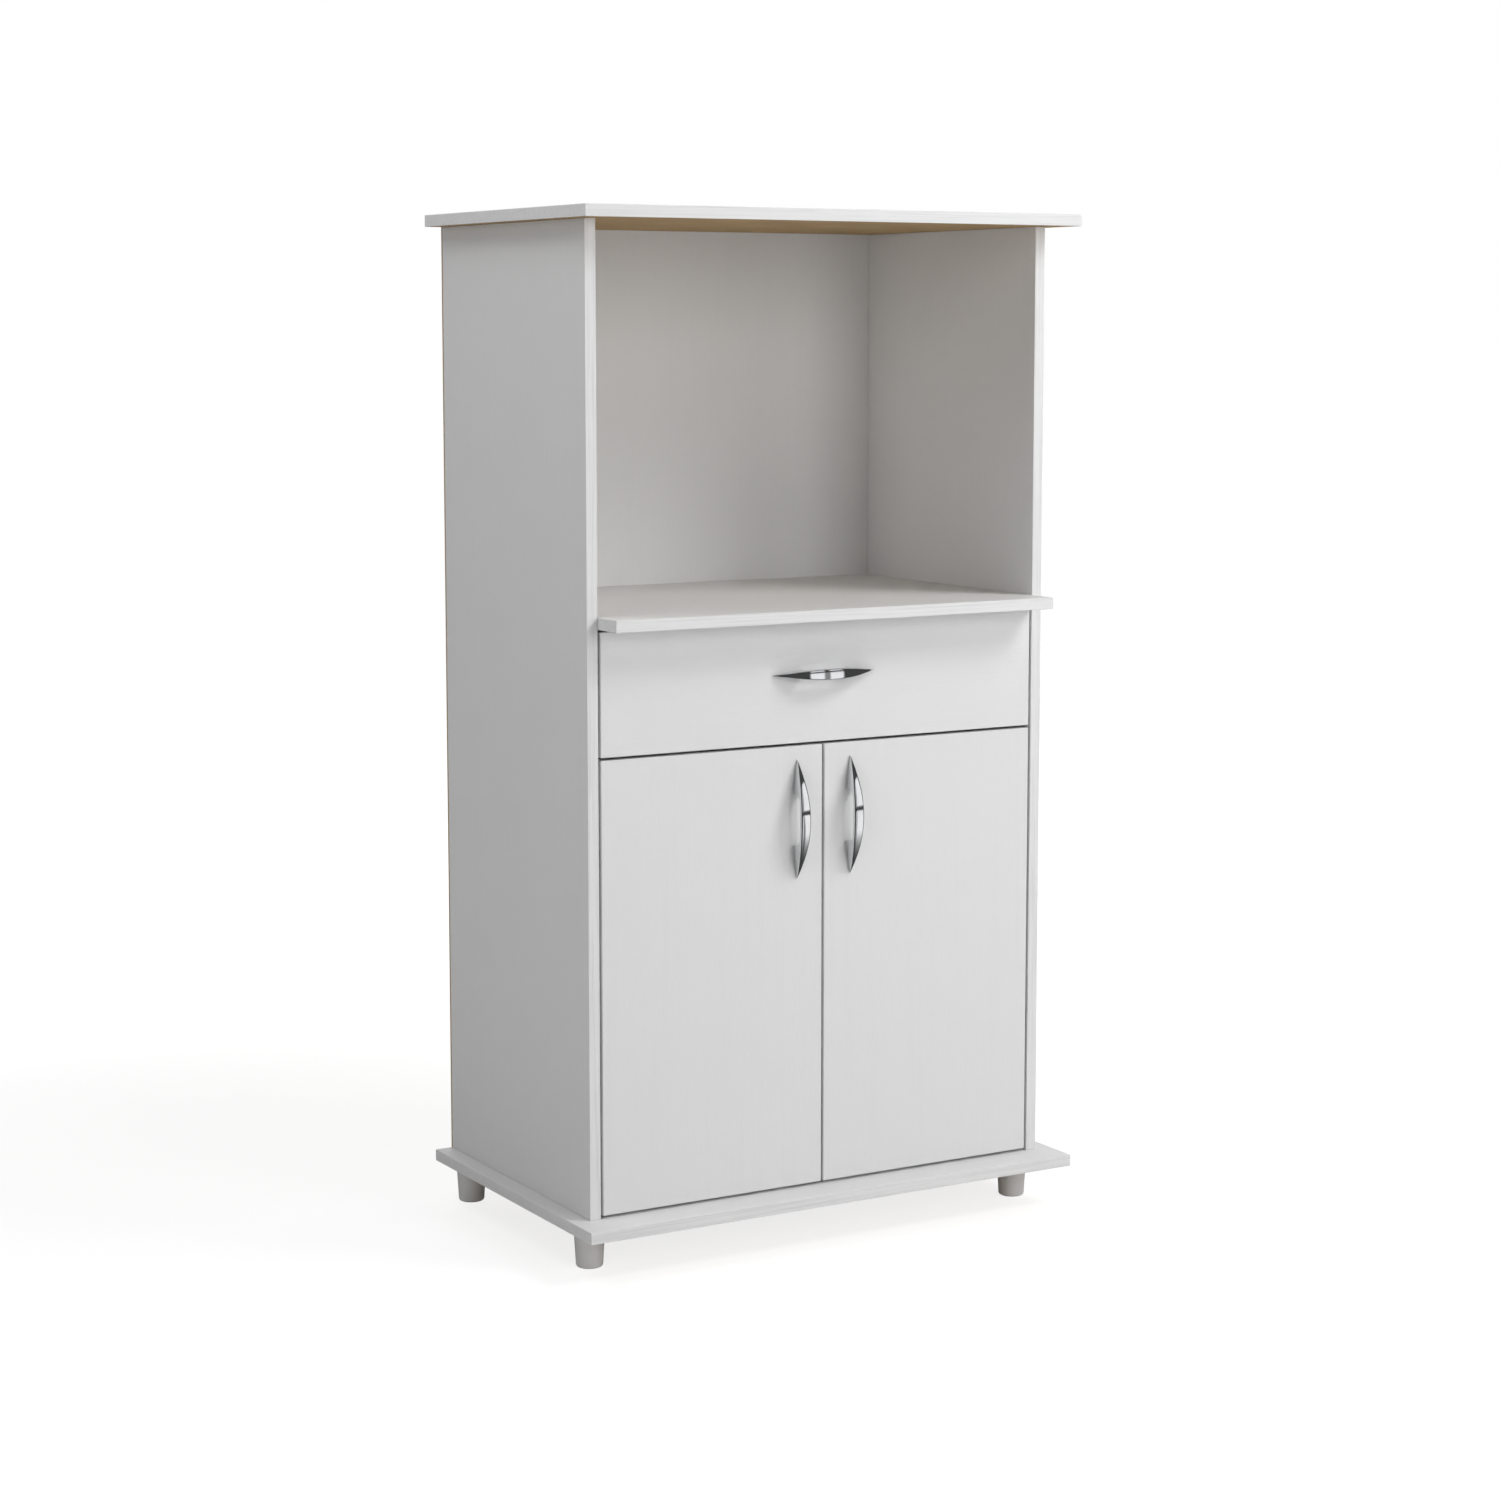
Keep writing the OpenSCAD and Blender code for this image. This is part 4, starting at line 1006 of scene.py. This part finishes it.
for node in ("drawer_handle", "left_door_handle", "right_door_handle"):
    dress_handle(node)
for node in ("front_left_foot", "front_right_foot", "rear_left_foot", "rear_right_foot"):
    dress_foot(node)
for node in ("left_front_roller", "right_front_roller", "left_rear_roller", "right_rear_roller"):
    dress_roller(node)
dress_nails("back_nails", ZINC)

# The screws, and whether their heads are countersunk
SCREWS = {
    "panel_screws": (ZINC, True),
    "cabinet_runner_screws": (ZINC, False),
    "drawer_runner_screws": (ZINC, False),
    "drawer_handle_screws": (ZINC, False),
    "left_door_handle_screws": (ZINC, False),
    "right_door_handle_screws": (ZINC, False),
    "left_cup_screws": (NICKEL, False),
    "right_cup_screws": (NICKEL, False),
    "hinge_plate_screws": (NICKEL, False),
    "hinge_arm_screws": (NICKEL, False),
}
for node, (material, flat_head) in SCREWS.items():
    dress_screws(node, material, flat_head)

# The rest of the hardware, and how far its corners are rounded, in millimetres
HARDWARE = {
    "left_cabinet_runner": (RUNNER_COAT, 0.25),
    "right_cabinet_runner": (RUNNER_COAT, 0.25),
    "left_drawer_runner": (RUNNER_COAT, 0.25),
    "right_drawer_runner": (RUNNER_COAT, 0.25),
    "left_hinge_cups": (NICKEL, 0.15),
    "right_hinge_cups": (NICKEL, 0.15),
    "left_hinge_arms": (NICKEL, 0.3),
    "right_hinge_arms": (NICKEL, 0.3),
    "left_hinge_plates": (NICKEL, 0.25),
    "right_hinge_plates": (NICKEL, 0.25),
    "left_hinge_pins": (ZINC, 0.1),
    "right_hinge_pins": (ZINC, 0.1),
    "front_roller_axles": (ZINC, 0.1),
    "rear_roller_axles": (ZINC, 0.1),
    "shelf_pins": (NICKEL, 0.2),
    "shelf_cam_bolts": (ZINC, 0.1),
    "shelf_cam_locks": (CAM_ZINC, 0.2),
    "drawer_cam_bolts": (ZINC, 0.1),
    "drawer_cam_locks": (CAM_ZINC, 0.2),
    "foot_studs": (ZINC, 0.3),
    "foot_insert_nuts": (BRASS, 0.2),
    "panel_dowels": (BEECH, 0.4),
    "drawer_dowels": (BEECH, 0.4),
}
for node, (material, round_over) in HARDWARE.items():
    dress_hardware(node, material, round_over * MM)


def grey(level):
    return (level, level, level, 1)


def in_sector(azimuth, low, high):
    """1 where an azimuth in degrees lies between two others, with soft edges."""
    rising = azimuth.step(low - SECTOR_EDGE / 2, low + SECTOR_EDGE / 2)
    return rising * (1 - azimuth.step(high - SECTOR_EDGE / 2, high + SECTOR_EDGE / 2))


def paper_sectors(x, y, white, gap):
    """How bright the papers or the screens are towards the place or direction (x, y)."""
    azimuth = x.math("ARCTAN2", y * -1) * DEGREES
    left, right = (in_sector(azimuth, *sector) for sector in PAPER_SECTORS)
    between = in_sector(azimuth, PAPER_SECTORS[0][1], PAPER_SECTORS[1][0])
    return ((left + right) * white).most(between * gap)


def mirrored_floor(x, y):
    """How bright the floor is to the metal that mirrors it."""
    reach = (x * x + y * y).math("SQRT")
    papers = paper_sectors(x, y, PAPER_WHITE, PAPER_GAP)
    papers = papers * reach.step(*PAPER_NEAR) * (1 - reach.step(*PAPER_FAR))
    return DIM_ROOM + papers.most(y.step(*BEHIND_FADE) * BEHIND_WHITE)


def floor_material():
    """A pale floor. The camera sees it as white with the cabinet's shadow on it, and shiny metal
    mirrors white papers and a dim room instead."""
    material = bpy.data.materials.new("studio floor")
    material.use_nodes = True
    finish = Finish(material.node_tree)
    place = finish.place()
    x, y, _ = finish.parts(place)
    pale = finish.mix(finish.noise(place, FLOOR_WAVES, 3.0), grey(FLOOR_PALE), grey(FLOOR_SPECK))
    plain = finish.node("ShaderNodeBsdfDiffuse", sockets={"Color": pale})

    rays = finish.node("ShaderNodeLightPath")
    looked_at = rays.out("Is Camera Ray").most(rays.out("Is Transmission Ray"))
    far = (x * x + y * y).math("SQRT").step(*FLOOR_FADE)
    white = finish.mix(far, grey(FLOOR_GLOW), grey(1))
    glow = finish.node("ShaderNodeEmission", sockets={"Color": white})
    shaded = finish.node("ShaderNodeBsdfDiffuse", sockets={"Color": grey(FLOOR_SHADE)})
    seen = finish.node("ShaderNodeAddShader", sockets={0: shaded, 1: glow})
    to_eye = finish.node("ShaderNodeMixShader", sockets={0: looked_at, 1: plain, 2: seen})
    papers = finish.mix(mirrored_floor(x, y), grey(0), grey(1))
    mirrored = finish.node("ShaderNodeEmission", sockets={"Color": papers})
    sockets = {0: rays.out("Is Glossy Ray"), 1: to_eye, 2: mirrored}
    every = finish.node("ShaderNodeMixShader", sockets=sockets)
    finish.node("ShaderNodeOutputMaterial", sockets={"Surface": every})
    return material


def lay_floor():
    bm = bmesh.new()
    bmesh.ops.create_grid(bm, x_segments=1, y_segments=1, size=FLOOR_HALF)
    mesh = mesh_from(bm, "floor")
    mesh.materials.append(floor_material())
    floor = bpy.data.objects.new("floor", mesh)
    bpy.context.scene.collection.objects.link(floor)


def light_world():
    """White wherever the camera looks, a room for the metal to mirror, and a low even fill."""
    world = bpy.data.worlds.new("studio")
    bpy.context.scene.world = world
    world.use_nodes = True
    finish = Finish(world.node_tree)
    x, y, z = finish.parts(finish.node("ShaderNodeTexCoord", output="Generated"))
    elevation = z.math("ARCSINE") * DEGREES
    backdrop = y.step(*BACKDROP_FADE)
    ceiling = elevation.step(*CEILING_FADE)
    screens = paper_sectors(x, y, SCREEN_WHITE, 0) * in_sector(elevation, *SCREEN_HEIGHTS)
    room = finish.mix(ceiling, grey(DIM_ROOM), grey(DIM_CEILING))
    room = finish.mix(screens, room, grey(1))
    mirrored = finish.mix(backdrop, room, grey(BACKDROP_WHITE))
    rays = finish.node("ShaderNodeLightPath")
    unseen = finish.mix(rays.out("Is Glossy Ray"), grey(FILL), mirrored)
    looked_at = rays.out("Is Camera Ray").most(rays.out("Is Transmission Ray"))
    seen = finish.mix(looked_at, unseen, grey(1))
    background = finish.node("ShaderNodeBackground", sockets={"Color": seen, "Strength": 1.0})
    finish.node("ShaderNodeOutputWorld", sockets={"Surface": background})


def hang_lamp(name, azimuth, elevation, distance, width, height, power):
    """A soft box aimed at the cabinet's middle. The camera and bright metal don't see it."""
    a, e = math.radians(azimuth), math.radians(elevation)
    away = Vector((math.sin(a) * math.cos(e), -math.cos(a) * math.cos(e), math.sin(e)))
    data = bpy.data.lights.new(name, "AREA")
    data.shape = "RECTANGLE"
    data.size = width
    data.size_y = height
    data.energy = power
    lamp = bpy.data.objects.new(name, data)
    lamp.location = Vector((0, 0, LAMP_AIM_Z)) + away * distance
    lamp.rotation_euler = away.to_track_quat("Z", "Y").to_euler()
    lamp.visible_camera = False
    lamp.visible_glossy = False
    bpy.context.scene.collection.objects.link(lamp)


def set_camera():
    """A camera at the photograph's place, aimed down a little and shifted a little."""
    data = bpy.data.cameras.new("camera")
    data.sensor_width = SENSOR_MM
    data.lens = FOCAL_PIXELS / PICTURE_PIXELS * SENSOR_MM
    data.shift_y = CAMERA_SHIFT_Y
    data.clip_end = CAMERA_REACH
    camera = bpy.data.objects.new("camera", data)
    camera.location = CAMERA_PLACE
    camera.rotation_euler = (math.pi / 2 + CAMERA_PITCH, 0, -CAMERA_YAW)
    bpy.context.scene.collection.objects.link(camera)
    bpy.context.scene.camera = camera


lay_floor()
light_world()
for name, facts in LAMPS.items():
    hang_lamp(name, *facts)
set_camera()
bpy.context.scene.view_settings.view_transform = "Standard"
